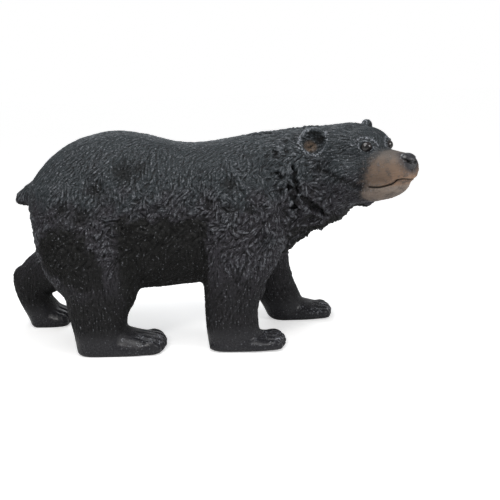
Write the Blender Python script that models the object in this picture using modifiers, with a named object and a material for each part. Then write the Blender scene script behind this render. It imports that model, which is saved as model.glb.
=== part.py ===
"""A walking black bear, a painted statue cast in one piece, with its head turned to its right.

Metres, +Z up. The bear faces +X and its right side is -Y. The origin is on the ground, under the middle
of the bounding box. Every form is laid out in units of the figure's own length: one unit is a centimetre
on a bear 36 inches long, and the finished figure is brought exactly to its length and height.
"""

import math

import bmesh
import bpy
from mathutils import Matrix, Vector
from mathutils.bvhtree import BVHTree

# Driving dimensions, in metres
BEAR_LENGTH = 0.914
BEAR_HEIGHT = 0.470
UNITS_LONG = 91.4
UNIT = BEAR_LENGTH / UNITS_LONG

# How finely the forms are fused, and how far the joins between them are rounded off, in units
BODY_VOXEL = 0.8
BODY_ROUNDING = 12
HEAD_VOXEL = 0.45
HEAD_ROUNDING = 4
CARVED_VOXEL = 0.4
CARVED_ROUNDING = 1
MOST_TRIANGLES = 9800

# Painted resin: colour, roughness
BLACK_PAINT = (0.028, 0.029, 0.032, 1.0)
PAINT_ROUGHNESS = 0.55

SIDES = 32
TRUNK_POWER = 2.2
TRUNK_EGG = 0.1
LEG_POWER = 2.3
MUZZLE_POWER = 2.5

# Trunk, from the rump to the chest: x, underside z, back z, half width
TRUNK = [
    (-36.0, 29.5, 35.5, 3.5),
    (-35.0, 25.5, 37.0, 6.4),
    (-33.0, 20.5, 39.5, 9.8),
    (-30.0, 16.0, 42.2, 12.0),
    (-25.5, 13.3, 44.9, 13.3),
    (-17.5, 11.8, 46.8, 13.8),
    (-10.0, 11.8, 45.6, 13.6),
    (-3.0, 12.4, 43.7, 13.3),
    (4.0, 13.0, 43.8, 13.1),
    (10.0, 14.5, 44.7, 12.6),
    (16.0, 18.8, 45.1, 11.2),
    (20.5, 23.4, 45.5, 9.0),
]

TOES = 5
TOE_SIZE = (0.13, 0.24, 0.46)
TOE_HEIGHT = 1.1
# Heel and toe on the ground, half width and height: front right, front left, hind right, hind left
PAWS = [
    ((1.1, -9.6, 0), (18.3, -9.9, 0), 4.9, 2.9),
    ((15.2, 9.7, 0), (29.8, 9.9, 0), 4.9, 3.5),
    ((-26.9, -9.8, 0), (-7.3, -9.6, 0), 5.2, 4.6),
    ((-42.8, 10.2, 0), (-32.8, 10.4, 0), 4.9, 4.6),
]

# The rest are lofts of ellipses: centre x, y, z, half width, half depth
NECK = [
    (12.0, 0.0, 31.0, 11.0, 13.6),
    (19.0, 0.0, 33.6, 10.4, 11.8),
    (25.0, 0.0, 35.2, 9.6, 10.8),
    (30.0, -1.5, 37.2, 8.9, 9.4),
    (33.0, -4.0, 38.2, 8.0, 8.4),
]
FRONT_RIGHT_LEG = [
    (8.5, -7.6, 35.0, 5.4, 8.6),
    (8.9, -8.4, 28.5, 5.9, 9.2),
    (9.2, -9.0, 22.0, 5.8, 8.7),
    (7.7, -9.3, 16.0, 5.4, 6.7),
    (7.1, -9.4, 12.0, 5.1, 6.1),
    (6.6, -9.5, 8.0, 4.9, 5.6),
    (6.8, -9.6, 4.0, 4.9, 5.7),
    (7.2, -9.6, -1.0, 4.7, 5.6),
]
FRONT_LEFT_LEG = [
    (10.6, 7.6, 35.0, 5.4, 8.4),
    (12.4, 8.4, 27.0, 5.8, 7.7),
    (13.6, 9.0, 20.0, 5.5, 6.4),
    (14.3, 9.3, 14.0, 5.1, 5.5),
    (15.6, 9.5, 9.0, 4.8, 5.0),
    (17.6, 9.6, 4.5, 4.7, 4.7),
    (19.8, 9.7, -1.0, 4.6, 4.7),
]
HIND_RIGHT_LEG = [
    (-23.6, -6.8, 35.0, 6.0, 9.8),
    (-23.8, -8.4, 28.5, 6.5, 10.1),
    (-22.9, -9.2, 22.0, 6.5, 10.0),
    (-21.3, -9.5, 16.8, 6.0, 9.0),
    (-20.6, -9.7, 13.6, 5.6, 7.8),
    (-21.5, -9.8, 10.2, 5.3, 6.7),
    (-21.5, -9.9, 7.2, 5.2, 6.0),
    (-21.4, -9.9, 3.6, 5.1, 5.6),
    (-21.2, -9.9, -1.0, 4.9, 5.4),
]
HIND_LEFT_THIGH = [
    (-23.6, 6.8, 34.0, 6.0, 9.8),
    (-26.0, 8.6, 25.0, 6.4, 9.6),
    (-30.5, 9.4, 18.2, 6.0, 7.6),
    (-36.0, 9.8, 14.2, 5.2, 5.9),
    (-41.4, 10.0, 11.6, 4.6, 4.8),
]
HIND_LEFT_FOOT = [
    (-42.4, 10.0, 14.4, 3.6, 3.2),
    (-42.4, 10.0, 11.0, 4.4, 3.7),
    (-41.7, 10.1, 6.4, 4.4, 3.3),
    (-40.0, 10.2, 3.4, 4.7, 3.7),
    (-38.0, 10.2, -1.0, 4.8, 4.4),
]
TAIL = [
    (-33.0, 0.0, 35.2, 3.2, 2.6),
    (-36.0, 0.0, 33.7, 2.7, 2.2),
    (-38.4, 0.0, 32.6, 2.2, 1.9),
    (-40.0, 0.0, 31.9, 1.2, 1.1),
]

# The head's own frame: x forward along the muzzle, y to the bear's left, z up
HEAD_AT = (32.1, -4.2, 38.1)
HEAD_YAW = -57.0
HEAD_PITCH = 8.0
MUZZLE = [
    (4.0, 0.0, -0.9, 6.0, 4.9),
    (8.5, 0.0, -1.1, 4.8, 3.9),
    (12.0, 0.0, -1.4, 3.9, 3.3),
    (14.8, 0.0, -1.6, 3.4, 2.8),
    (16.9, 0.0, -1.9, 2.8, 2.55),
    (18.4, 0.0, -2.1, 1.9, 1.9),
]
LOWER_JAW = [
    (2.0, 0.0, -5.0, 5.2, 3.6),
    (7.0, 0.0, -5.5, 4.1, 2.7),
    (11.5, 0.0, -5.5, 3.2, 2.2),
    (14.2, 0.0, -5.1, 2.45, 1.6),
    (16.1, 0.0, -4.3, 1.6, 1.05),
]
# Centre and half sizes of the forms of the head; those off the middle are mirrored
SKULL = ((0.3, 0, 1.4), (8.2, 7.5, 7.2))
FOREHEAD = ((5.6, 0, 2.6), (5.2, 5.5, 4.6))
CHEEK = ((3.4, 4.2, -2.2), (5.6, 3.6, 4.6))
CHEEK_RUFF = ((-1.6, 4.6, -3.6), (5.8, 4.0, 6.0))
BROW = ((7.8, 3.0, 3.6), (2.3, 1.5, 1.0))
NOSE = ((17.3, 0, -0.85), (1.4, 1.9, 1.8))
EYE = ((9.5, 3.1, 2.75), (0.95, 0.8, 0.75))
# The right ear sits lower than the left
EARS = [(-1.2, 7.1, 6.0, 1), (-1.4, -7.2, 5.2, -1)]
EAR_SIZE = (1.7, 3.0, 3.3)
EAR_TURN = (-28, 0, 38)

# Carving: middle, reach and depth of each hollow of the head; those off the middle are mirrored
EYE_SOCKET = ((10.2, 3.2, 2.8), 1.6, 0.5)
NOSTRIL = ((18.6, 1.1, -0.8), 0.8, 0.6)
EAR_CUP_REACH = 2.6
EAR_CUP_DEPTH = 2.1
# Line of the mouth, from under the nose to its corner, and the groove along it
MOUTH = [(18.5, 0.0, -1.7), (17.1, 0.35, -3.8), (15.7, 2.05, -4.7), (13.7, 2.7, -5.0), (9.8, 3.4, -5.0)]
MOUTH_REACH = 0.6
MOUTH_DEPTH = 0.5

# Locks of the coat: length, half width and half depth of one, and how far its tip stands off the skin
RUFF_LOCK = (5.8, 1.5, 0.95, 0.25)
COAT_LOCK = (4.6, 1.2, 0.5, 0.2)
# Rings of locks about the neck, square to its bend: how far along it, how many, and from which angle to
# which, measured about it from straight down, positive on the right side
RUFF_BEND = -32.0
RUFF_LEAN = (-0.75, 0.3, -0.6)
RUFF_RINGS = [
    (31.0, 12, -100, 62),
    (28.7, 16, -130, 95),
    (26.2, 16, -135, 112),
    (23.6, 15, -125, 92),
    (20.8, 10, -90, 52),
]
# Locks spread over the flanks: z and x from which to which, how many a side, and the way they lie
FLANK_Z = (15.0, 34.0)
FLANK_X = (-15.0, 3.0)
FLANK_LOCKS = 26
FLANK_LEAN = (-0.85, 0, -0.5)
CREST_LOCKS = 7
CREST_X = (14.0, 27.0)


def to_object(name, bm, collection):
    mesh = bpy.data.meshes.new(name)
    bm.to_mesh(mesh)
    bm.free()
    obj = bpy.data.objects.new(name, mesh)
    collection.objects.link(obj)
    return obj


def smooth_through(rows, steps):
    """Catmull-Rom rows through the given rows of numbers, with so many steps from one to the next."""
    points = [Vector(row) for row in rows]
    ends = [points[0] * 2 - points[1]] + points + [points[-1] * 2 - points[-2]]
    out = []
    for a, b, c, d in zip(ends, ends[1:], ends[2:], ends[3:]):
        for step in range(steps):
            t = step / steps
            linear = (c - a) * t
            square = (2 * a - 5 * b + 4 * c - d) * t**2
            cube = (3 * b - a - 3 * c + d) * t**3
            out.append(0.5 * (2 * b + linear + square + cube))
    return out + [points[-1]]


def loft(bm, stations, frame=Matrix(), power=2.0, egg=0.0, sides=SIDES, steps=3, facing=None):
    """A closed tube through stations of centre, half width along the frame's own Y, and half depth.

    A power above 2 squares the section, and egg narrows its top and widens its underside. The sections
    stand square to the path, or all face one way."""
    rows = smooth_through(stations, steps)
    centres = [Vector(row[:3]) for row in rows]
    rings = []
    for i, row in enumerate(rows):
        path = centres[min(i + 1, len(rows) - 1)] - centres[max(i - 1, 0)]
        along = Vector(facing or path).normalized()
        side = Vector((0, 1, 0))
        across = (side - along * along.dot(side)).normalized()
        up = along.cross(across)
        ring = []
        for k in range(sides):
            angle = math.tau * k / sides
            c, s = math.cos(angle), math.sin(angle)
            wide = math.copysign(abs(c) ** (2 / power), c) * (1 - egg * s)
            high = math.copysign(abs(s) ** (2 / power), s)
            ring.append(bm.verts.new(frame @ (centres[i] + across * row[3] * wide + up * row[4] * high)))
        rings.append(ring)
    for low, high in zip(rings, rings[1:]):
        for k in range(sides):
            bm.faces.new((low[k - 1], low[k], high[k], high[k - 1]))
    bm.faces.new(rings[0])
    bm.faces.new(reversed(rings[-1]))


def ellipsoid(bm, centre, half, turn=(0, 0, 0), frame=Matrix()):
    """An ellipsoid of the given half sizes, turned in degrees about X, then Y, then Z."""
    place = frame @ Matrix.Translation(centre) @ turned(turn) @ Matrix.Diagonal((*half, 1))
    bmesh.ops.create_uvsphere(bm, u_segments=SIDES, v_segments=SIDES // 2, radius=1.0, matrix=place)


def turned(degrees):
    x, y, z = (math.radians(angle) for angle in degrees)
    return Matrix.Rotation(z, 4, "Z") @ Matrix.Rotation(y, 4, "Y") @ Matrix.Rotation(x, 4, "X")


def both_sides(centre):
    """The centre, and its mirror image if it stands off the middle, each with its side as -1 or 1."""
    x, y, z = centre
    return [(x, y, z, 1)] if y == 0 else [(x, y, z, 1), (x, -y, z, -1)]


def head_frame():
    return Matrix.Translation(HEAD_AT) @ turned((0, -HEAD_PITCH, HEAD_YAW))


def trunk(bm):
    stations = [(x, 0.0, (low + high) / 2, half, (high - low) / 2) for x, low, high, half in TRUNK]
    loft(bm, stations, power=TRUNK_POWER, egg=TRUNK_EGG, facing=(1, 0, 0))
    for side in (-1, 1):
        ellipsoid(bm, (8.5 + 2.0 * side, side * 9.0, 30.0), (8.6, 4.9, 11.0), turn=(side * 6, 0, 0))
        ellipsoid(bm, (-23.6, side * 9.0, 28.6), (9.8, 5.2, 12.0), turn=(side * 6, 0, 0))
    ellipsoid(bm, (26.4, -1.5, 32.2), (7.2, 8.6, 8.0), turn=(0, -25, 0))


def paw(bm, heel, toe, half_width, height):
    """A blunt paw from its heel to its toes on the ground, with five toes side by side."""
    start, end = Vector(heel), Vector(toe)
    along = end - start
    length = along.length
    frame = Matrix.Translation(start) @ turned((0, 0, math.degrees(math.atan2(along.y, along.x))))
    shape = [
        (0.04, 0.62, 0.45),
        (0.16, 0.92, 0.85),
        (0.45, 0.98, 1.0),
        (0.68, 1.02, 0.74),
        (0.85, 0.96, 0.56),
        (0.95, 0.82, 0.42),
    ]
    stations = [(far * length, 0.0, 0.8, wide * half_width, high * height) for far, wide, high in shape]
    loft(bm, stations, frame, facing=(1, 0, 0))
    for i in range(TOES):
        share = i / (TOES - 1) * 2 - 1
        centre = (length * (0.87 - 0.05 * share**2), share * half_width * 0.74, TOE_HEIGHT)
        size = (length * TOE_SIZE[0], half_width * TOE_SIZE[1], height * TOE_SIZE[2])
        ellipsoid(bm, centre, size, frame=frame)


def body():
    bm = bmesh.new()
    trunk(bm)
    loft(bm, NECK, power=TRUNK_POWER)
    loft(bm, TAIL)
    for leg in (FRONT_RIGHT_LEG, FRONT_LEFT_LEG, HIND_RIGHT_LEG, HIND_LEFT_THIGH, HIND_LEFT_FOOT):
        loft(bm, leg, power=LEG_POWER)
    return bm


def head_and_paws():
    frame = head_frame()
    bm = bmesh.new()
    loft(bm, MUZZLE, frame, power=MUZZLE_POWER)
    loft(bm, LOWER_JAW, frame, power=MUZZLE_POWER)
    for centre, half in (SKULL, FOREHEAD, CHEEK, CHEEK_RUFF, BROW):
        for x, y, z, side in both_sides(centre):
            ellipsoid(bm, (x, y, z), half, frame=frame)
    tilt, lean, swing = EAR_TURN
    for x, y, z, side in EARS:
        ellipsoid(bm, (x, y, z), EAR_SIZE, turn=(side * tilt, lean, side * swing), frame=frame)
    for heel, toe, half_width, height in PAWS:
        paw(bm, heel, toe, half_width, height)
    return bm


def hollow(bm, centre, reach, depth, along=None):
    """Presses the skin in about a centre, deepest in the middle, along its own normal or a given way."""
    centre = Vector(centre)
    for v in bm.verts:
        near = (v.co - centre).length / reach
        if near < 1:
            v.co -= (along or v.normal) * depth * (1 - near**2)


def groove(bm, path, reach, depth):
    """Presses the skin in along a line of points."""
    points = smooth_through(path, 4)
    box_low = Vector([min(p[i] for p in points) - reach for i in range(3)])
    box_high = Vector([max(p[i] for p in points) + reach for i in range(3)])
    for v in bm.verts:
        if any(v.co[i] < box_low[i] or v.co[i] > box_high[i] for i in range(3)):
            continue
        near = min(distance_to_segment(v.co, a, b) for a, b in zip(points, points[1:])) / reach
        if near < 1:
            v.co -= v.normal * depth * (1 - near**2)


def distance_to_segment(p, a, b):
    along = b - a
    t = max(0.0, min(1.0, (p - a).dot(along) / along.length_squared))
    return (p - a - along * t).length


def carve_face(bm):
    frame = head_frame()
    centre, reach, depth = EYE_SOCKET
    for x, y, z, side in both_sides(centre):
        hollow(bm, frame @ Vector((x, y, z)), reach, depth)
    tilt, lean, swing = EAR_TURN
    for x, y, z, side in EARS:
        out = frame.to_3x3() @ turned((side * tilt, lean, side * swing)).to_3x3() @ Vector((1, 0, 0))
        middle = frame @ Vector((x, y, z)) + out * EAR_SIZE[0]
        hollow(bm, middle, EAR_CUP_REACH, EAR_CUP_DEPTH, out)
    for side in (-1, 1):
        path = [frame @ Vector((x, y * side, z)) for x, y, z in MOUTH]
        groove(bm, path, MOUTH_REACH, MOUTH_DEPTH)


def carve_nostrils(mesh):
    bm = bmesh.new()
    bm.from_mesh(mesh)
    bm.normal_update()
    centre, reach, depth = NOSTRIL
    for x, y, z, side in both_sides(centre):
        hollow(bm, head_frame() @ Vector((x, y, z)), reach, depth)
    bm.to_mesh(mesh)
    bm.free()


def lock(bm, root, normal, along, size):
    """One lock of hair, lying along the skin from its root, with its tip standing a little off it."""
    length, half_width, half_depth, lift = size
    along = (along - normal * along.dot(normal)).normalized()
    across = normal.cross(along)
    frame = Matrix((along, across, normal)).transposed().to_4x4()
    frame.translation = root
    stations = [
        (0.0, 0, -0.9 * half_depth, 0.55 * half_width, 0.8 * half_depth),
        (0.3 * length, 0, -0.35 * half_depth, half_width, half_depth),
        (0.65 * length, 0, 0.3 * lift, 0.75 * half_width, 0.85 * half_depth),
        (length, 0, lift, 0.12 * half_width, 0.2 * half_depth),
    ]
    loft(bm, stations, frame, sides=8, steps=2)


def scattered(i, salt):
    """A share from 0 to 1 that looks random but is always the same for the same number."""
    return (math.sin(i * 12.9898 + salt * 78.233) * 43758.5453) % 1.0


def coat_locks(bm, tree):
    """The locks that show from a step away, rooted where rays from outside meet the skin."""
    bend = turned((0, 0, RUFF_BEND))
    for x, count, start, end in RUFF_RINGS:
        axis = Vector((x, 0, 35.0 + 0.3 * (x - 22)))
        for i in range(count):
            angle = math.radians(start + (end - start) * (i + 0.7 * scattered(i, x)) / count)
            out = bend @ Vector((0, -math.sin(angle), -math.cos(angle)))
            hit, normal, index, far = tree.ray_cast(axis + out * 30, -out)
            if hit is not None:
                lock(bm, hit, normal, Vector(RUFF_LEAN), RUFF_LOCK)
    for side in (-1, 1):
        for i in range(FLANK_LOCKS):
            x = FLANK_X[0] + (FLANK_X[1] - FLANK_X[0]) * scattered(i, side)
            z = FLANK_Z[0] + (FLANK_Z[1] - FLANK_Z[0]) * (i + scattered(i, 5)) / FLANK_LOCKS
            hit, normal, index, far = tree.ray_cast(Vector((x, side * 30, z)), Vector((0, -side, 0)))
            if hit is not None:
                lock(bm, hit, normal, Vector(FLANK_LEAN), COAT_LOCK)
    for i in range(CREST_LOCKS):
        x = CREST_X[0] + (CREST_X[1] - CREST_X[0]) * (i + 0.5) / CREST_LOCKS
        y = 3.0 * (scattered(i, 3) * 2 - 1)
        hit, normal, index, far = tree.ray_cast(Vector((x, y, 60)), Vector((0, 0, -1)))
        if hit is not None:
            lock(bm, hit, normal, Vector((-1, 0, 0)), COAT_LOCK)


def fused(obj, voxel, rounding):
    """The object's overlapping forms made one skin, and the joins rounded off."""
    remesh = obj.modifiers.new("one_skin", "REMESH")
    remesh.mode = "VOXEL"
    remesh.voxel_size = voxel
    smooth = obj.modifiers.new("rounding", "SMOOTH")
    smooth.factor = 0.5
    smooth.iterations = rounding
    return applied(obj)


def applied(obj):
    graph = bpy.context.evaluated_depsgraph_get()
    mesh = bpy.data.meshes.new_from_object(obj.evaluated_get(graph))
    obj.modifiers.clear()
    obj.data = mesh
    return mesh


def add_forms(obj, bm, collection):
    """A new object of the given forms and the old object's mesh."""
    bm.from_mesh(obj.data)
    bpy.data.objects.remove(obj)
    return to_object("bear", bm, collection)


def flat_soles(bm):
    everything = bm.verts[:] + bm.edges[:] + bm.faces[:]
    cut = bmesh.ops.bisect_plane(
        bm, geom=everything, dist=1e-5, plane_co=(0, 0, 0), plane_no=(0, 0, -1), clear_outer=True
    )
    rim = [e for e in cut["geom_cut"] if isinstance(e, bmesh.types.BMEdge)]
    bmesh.ops.holes_fill(bm, edges=rim)
    bmesh.ops.triangulate(bm, faces=bm.faces[:])


def fit_to_size(bm):
    """Brings the figure from units to metres, exactly as long and high as it is, with its box centred."""
    low = Vector([min(v.co[i] for v in bm.verts) for i in range(3)])
    high = Vector([max(v.co[i] for v in bm.verts) for i in range(3)])
    middle = Vector(((low.x + high.x) / 2, (low.y + high.y) / 2, low.z))
    stretch = Matrix.Diagonal((BEAR_LENGTH / (high.x - low.x), UNIT, BEAR_HEIGHT / (high.z - low.z), 1))
    bm.transform(stretch @ Matrix.Translation(-middle))


def main():
    for old in list(bpy.data.objects):
        bpy.data.objects.remove(old)
    collection = bpy.data.collections.new("bear_statue")
    bpy.context.scene.collection.children.link(collection)
    bear = to_object("bear", body(), collection)
    fused(bear, BODY_VOXEL, BODY_ROUNDING)
    bear = add_forms(bear, head_and_paws(), collection)
    fused(bear, HEAD_VOXEL, HEAD_ROUNDING)

    bm = bmesh.new()
    bm.from_mesh(bear.data)
    bm.normal_update()
    carve_face(bm)
    tree = BVHTree.FromBMesh(bm)
    coat_locks(bm, tree)
    for centre, half in (EYE, NOSE):
        for x, y, z, side in both_sides(centre):
            ellipsoid(bm, (x, y, z), half, frame=head_frame())
    bm.to_mesh(bear.data)
    bm.free()
    fused(bear, CARVED_VOXEL, CARVED_ROUNDING)
    carve_nostrils(bear.data)

    thin = bear.modifiers.new("thin", "DECIMATE")
    thin.ratio = min(1.0, MOST_TRIANGLES / (2.0 * len(bear.data.polygons)))
    mesh = applied(bear)
    bm = bmesh.new()
    bm.from_mesh(mesh)
    flat_soles(bm)
    fit_to_size(bm)
    bm.to_mesh(mesh)
    bm.free()
    mesh.shade_smooth()

    paint = bpy.data.materials.new("black_paint")
    paint.use_nodes = True
    shader = paint.node_tree.nodes["Principled BSDF"]
    shader.inputs["Base Color"].default_value = BLACK_PAINT
    shader.inputs["Roughness"].default_value = PAINT_ROUGHNESS
    mesh.materials.append(paint)


main()
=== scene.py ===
import math

import bmesh
import bpy
import numpy as np
from mathutils import Matrix, Vector, kdtree
from mathutils.bvhtree import BVHTree


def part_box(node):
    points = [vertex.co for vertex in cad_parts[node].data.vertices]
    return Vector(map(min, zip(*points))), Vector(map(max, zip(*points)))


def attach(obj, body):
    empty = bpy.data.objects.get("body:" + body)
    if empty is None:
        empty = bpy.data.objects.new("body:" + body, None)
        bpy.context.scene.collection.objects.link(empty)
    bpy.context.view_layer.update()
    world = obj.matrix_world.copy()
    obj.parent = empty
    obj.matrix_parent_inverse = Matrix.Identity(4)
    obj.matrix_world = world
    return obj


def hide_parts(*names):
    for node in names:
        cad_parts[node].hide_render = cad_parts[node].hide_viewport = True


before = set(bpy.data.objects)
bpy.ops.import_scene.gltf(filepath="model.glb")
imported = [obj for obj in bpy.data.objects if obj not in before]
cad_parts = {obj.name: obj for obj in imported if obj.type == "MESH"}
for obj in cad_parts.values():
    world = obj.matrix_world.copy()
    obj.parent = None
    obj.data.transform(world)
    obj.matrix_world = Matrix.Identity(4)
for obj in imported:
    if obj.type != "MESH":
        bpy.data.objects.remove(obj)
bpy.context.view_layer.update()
print("frame loaded")

# Camera of the photograph, in metres and degrees
photoView = {
    "place": (0.15502, -1.47004, 0.54812),
    "aim": (0.1224, 0.0, 0.1961),
    "roll": -2.27,
    "lens": 49.05,
}

# Soft studio: place, size, power, colour of each light
studio = {
    "floor": (0.80, 0.80, 0.80, 1.0),
    "world": (1.0, 1.0, 1.0, 1.0),
    "worldPower": 0.34,
    "backdrop": 1.0,
    "floorGlow": 0.5,
    "farGlow": 0.72,
    "floorFade": (0.5, 3.0),
    "lights": [
        ("overhead", (-0.1, -0.4, 1.6), (0.0, 0.0, 0.2), 1.2, 14.5, (1.0, 1.0, 1.0)),
        ("key", (-0.7, -1.5, 1.5), (0.0, 0.0, 0.2), 0.5, 11.0, (1.0, 0.98, 0.96)),
        ("back", (-0.3, 1.3, 1.2), (0.0, 0.0, 0.3), 1.0, 9.0, (0.93, 0.97, 1.0)),
        ("front", (1.4, -0.8, 0.9), (0.2, 0.0, 0.15), 0.6, 8.5, (1.0, 1.0, 1.0)),
    ],
}

# The figure in units of a centimetre. The bear walks along +X, its right side is -Y, z is up.
figure = {
    "bodyVoxel": 0.8,
    "bodyRounding": 12,
    "headVoxel": 0.45,
    "headRounding": 4,
    "fineVoxel": 0.19,
    "quickVoxel": 0.3,
    "fineRounding": 2,
    "finerFace": (7.5, 6.0, 8.0),  # in the frame of the head: from x forward, within y and z
    "trunkPower": 2.2,
    "trunkEgg": 0.1,
    "legPower": 2.3,
    # shoulders, then haunches: x, y and z, how far the left one is ahead and the right one behind,
    # half sizes, outward lean
    "masses": [
        (8.5, 9.0, 30.0, 2.0, (8.6, 4.9, 11.0), 6),
        (-23.6, 9.0, 28.6, 0.0, (9.8, 5.2, 12.0), 6),
    ],
    "chest": ((26.4, -1.5, 32.2), (7.2, 8.6, 8.0), (0, -25, 0)),
    # rump to chest: x, underside z, back z, half width
    "trunk": [
        (-36.0, 29.5, 35.5, 3.5),
        (-35.0, 25.5, 37.0, 6.4),
        (-33.0, 20.5, 39.5, 9.8),
        (-30.0, 16.0, 42.2, 12.0),
        (-25.5, 13.3, 44.9, 13.3),
        (-17.5, 11.8, 46.8, 13.8),
        (-10.0, 11.8, 45.6, 13.6),
        (-3.0, 12.4, 43.7, 13.3),
        (4.0, 13.0, 43.8, 13.1),
        (10.0, 14.5, 44.7, 12.6),
        (16.0, 18.8, 45.1, 11.2),
        (20.5, 23.4, 45.5, 9.0),
    ],
    # the rest are centre x, y, z, half width, half depth
    "neck": [
        (12.0, 0.0, 31.0, 11.0, 13.6),
        (19.0, 0.0, 33.6, 10.4, 11.8),
        (25.0, 0.0, 35.2, 9.6, 10.8),
        (30.0, -1.5, 37.2, 8.9, 9.4),
        (33.0, -4.0, 38.2, 8.0, 8.4),
    ],
    "tail": [
        (-33.0, 0.0, 35.2, 3.2, 2.6),
        (-36.0, 0.0, 33.7, 2.7, 2.2),
        (-38.4, 0.0, 32.6, 2.2, 1.9),
        (-40.0, 0.0, 31.9, 1.2, 1.1),
    ],
    "legs": [
        [
            (8.5, -7.6, 35.0, 5.4, 8.6),
            (8.9, -8.4, 28.5, 5.9, 9.2),
            (9.2, -9.0, 22.0, 5.8, 8.7),
            (7.7, -9.3, 16.0, 5.4, 6.7),
            (7.1, -9.4, 12.0, 5.1, 6.1),
            (6.6, -9.5, 8.0, 4.9, 5.6),
            (6.8, -9.6, 4.0, 4.9, 5.7),
            (7.2, -9.6, -1.0, 4.7, 5.6),
        ],
        [
            (10.6, 7.6, 35.0, 5.4, 8.4),
            (12.4, 8.4, 27.0, 5.8, 7.7),
            (13.6, 9.0, 20.0, 5.5, 6.4),
            (14.3, 9.3, 14.0, 5.1, 5.5),
            (15.6, 9.5, 9.0, 4.8, 5.0),
            (17.6, 9.6, 4.5, 4.7, 4.7),
            (19.8, 9.7, -1.0, 4.6, 4.7),
        ],
        [
            (-23.6, -6.8, 35.0, 6.0, 9.8),
            (-23.8, -8.4, 28.5, 6.5, 10.1),
            (-22.9, -9.2, 22.0, 6.5, 10.0),
            (-21.3, -9.5, 16.8, 6.0, 9.0),
            (-20.6, -9.7, 13.6, 5.6, 7.8),
            (-21.5, -9.8, 10.2, 5.3, 6.7),
            (-21.5, -9.9, 7.2, 5.2, 6.0),
            (-21.4, -9.9, 3.6, 5.1, 5.6),
            (-21.2, -9.9, -1.0, 4.9, 5.4),
        ],
        [
            (-23.6, 6.8, 34.0, 6.0, 9.8),
            (-26.0, 8.6, 25.0, 6.4, 9.6),
            (-30.5, 9.4, 18.2, 6.0, 7.6),
            (-36.0, 9.8, 14.2, 5.2, 5.9),
            (-41.4, 10.0, 11.6, 4.6, 4.8),
        ],
        [
            (-42.4, 10.0, 14.4, 3.6, 3.2),
            (-42.4, 10.0, 11.0, 4.4, 3.7),
            (-41.7, 10.1, 6.4, 4.4, 3.3),
            (-40.0, 10.2, 3.4, 4.7, 3.7),
            (-38.0, 10.2, -1.0, 4.8, 4.4),
        ],
    ],
}

# Each paw from heel to toe on the ground, half width and height, then its shape along its length
paws = {
    "toes": 5,
    # shares of the paw: where the middle toe sits, how far the outer ones fall back, how far they spread
    "toeAt": 0.87,
    "toeFall": 0.05,
    "toeSpread": 0.74,
    "toeSize": (0.13, 0.24, 0.46),
    "toeHigh": 1.1,
    "middleHigh": 0.8,
    "grooveWidth": 0.26,
    "grooveDepth": 0.42,
    "places": [
        ((1.1, -9.6, 0), (18.3, -9.9, 0), 4.9, 2.9),
        ((15.2, 9.7, 0), (29.8, 9.9, 0), 4.9, 3.5),
        ((-26.9, -9.8, 0), (-7.3, -9.6, 0), 5.2, 4.6),
        ((-42.8, 10.2, 0), (-32.8, 10.4, 0), 4.9, 4.6),
    ],
    "shape": [
        (0.04, 0.62, 0.45),
        (0.16, 0.92, 0.85),
        (0.45, 0.98, 1.0),
        (0.68, 1.02, 0.74),
        (0.85, 0.96, 0.56),
        (0.95, 0.82, 0.42),
    ],
}

# The head has its own frame: x forward along the muzzle, y to the bear's left, z up
head = {
    "at": (32.1, -4.2, 38.1),
    "yaw": -57.0,
    "pitch": 8.0,
    "power": 2.5,
    "muzzle": [
        (4.0, 0.0, -0.9, 6.0, 4.9),
        (8.5, 0.0, -1.1, 4.8, 3.9),
        (12.0, 0.0, -1.4, 3.9, 3.3),
        (14.8, 0.0, -1.6, 3.4, 2.8),
        (16.9, 0.0, -1.9, 2.8, 2.55),
        (18.4, 0.0, -2.1, 1.9, 1.9),
    ],
    "jaw": [
        (2.0, 0.0, -5.0, 5.2, 3.6),
        (7.0, 0.0, -5.5, 4.1, 2.7),
        (11.5, 0.0, -5.5, 3.2, 2.2),
        (14.2, 0.0, -5.1, 2.45, 1.6),
        (16.1, 0.0, -4.3, 1.6, 1.05),
    ],
    # skull, forehead, cheeks, cheek ruffs and brows: centre and half sizes
    "forms": [
        ((0.3, 0, 1.4), (8.2, 7.5, 7.2)),
        ((5.6, 0, 2.6), (5.2, 5.5, 4.6)),
        ((3.4, 4.2, -2.2), (5.6, 3.6, 4.6)),
        ((-1.6, 4.6, -3.6), (5.8, 4.0, 6.0)),
        ((7.8, 3.0, 3.6), (2.3, 1.5, 1.0)),
    ],
    "nose": ((17.35, 0, -0.9), (1.45, 1.8, 1.8)),
    "nostril": (0.95, -0.75),
    "eye": ((9.2, 2.72, 2.9), (1.28, 1.2, 1.15)),
    "earBrown": (-1.6, 8.0, 4.4),
    # the painted shade deep in the ear cup
    "earShade": (-0.5, 6.3, 5.6),
    "gaze": (0.62, 0.75, 0.2),
    "ears": [((-1.2, 7.1, 6.0), 1), ((-1.4, -7.2, 5.2), -1)],
    "earSize": (1.7, 3.0, 3.3),
    "earTurn": (-28, 0, 38),
    "earCup": (2.6, 2.1),
    "eyeSocket": ((10.2, 3.2, 2.8), 1.6, 0.5),
    "mouth": [
        (18.0, 0.0, -4.6),
        (17.9, 0.5, -4.35),
        (17.4, 1.15, -3.75),
        (16.6, 1.75, -3.95),
        (15.4, 2.35, -4.6),
        (14.0, 2.7, -4.95),
        (12.4, 2.95, -5.2),
        (11.2, 3.1, -5.2),
        (9.8, 3.4, -5.0),
    ],
    "philtrum": [(18.9, 0.0, -1.9), (18.7, 0.0, -3.0), (18.2, 0.0, -4.3)],
    "lipFront": ((17.8, 0.0, -4.3), 1.15, 0.38),
    "cheekCrease": [(0.7, 8.0, -0.4), (4.2, 7.6, -2.1), (6.9, 6.5, -3.7), (8.0, 4.2, -4.8)],
}

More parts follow.
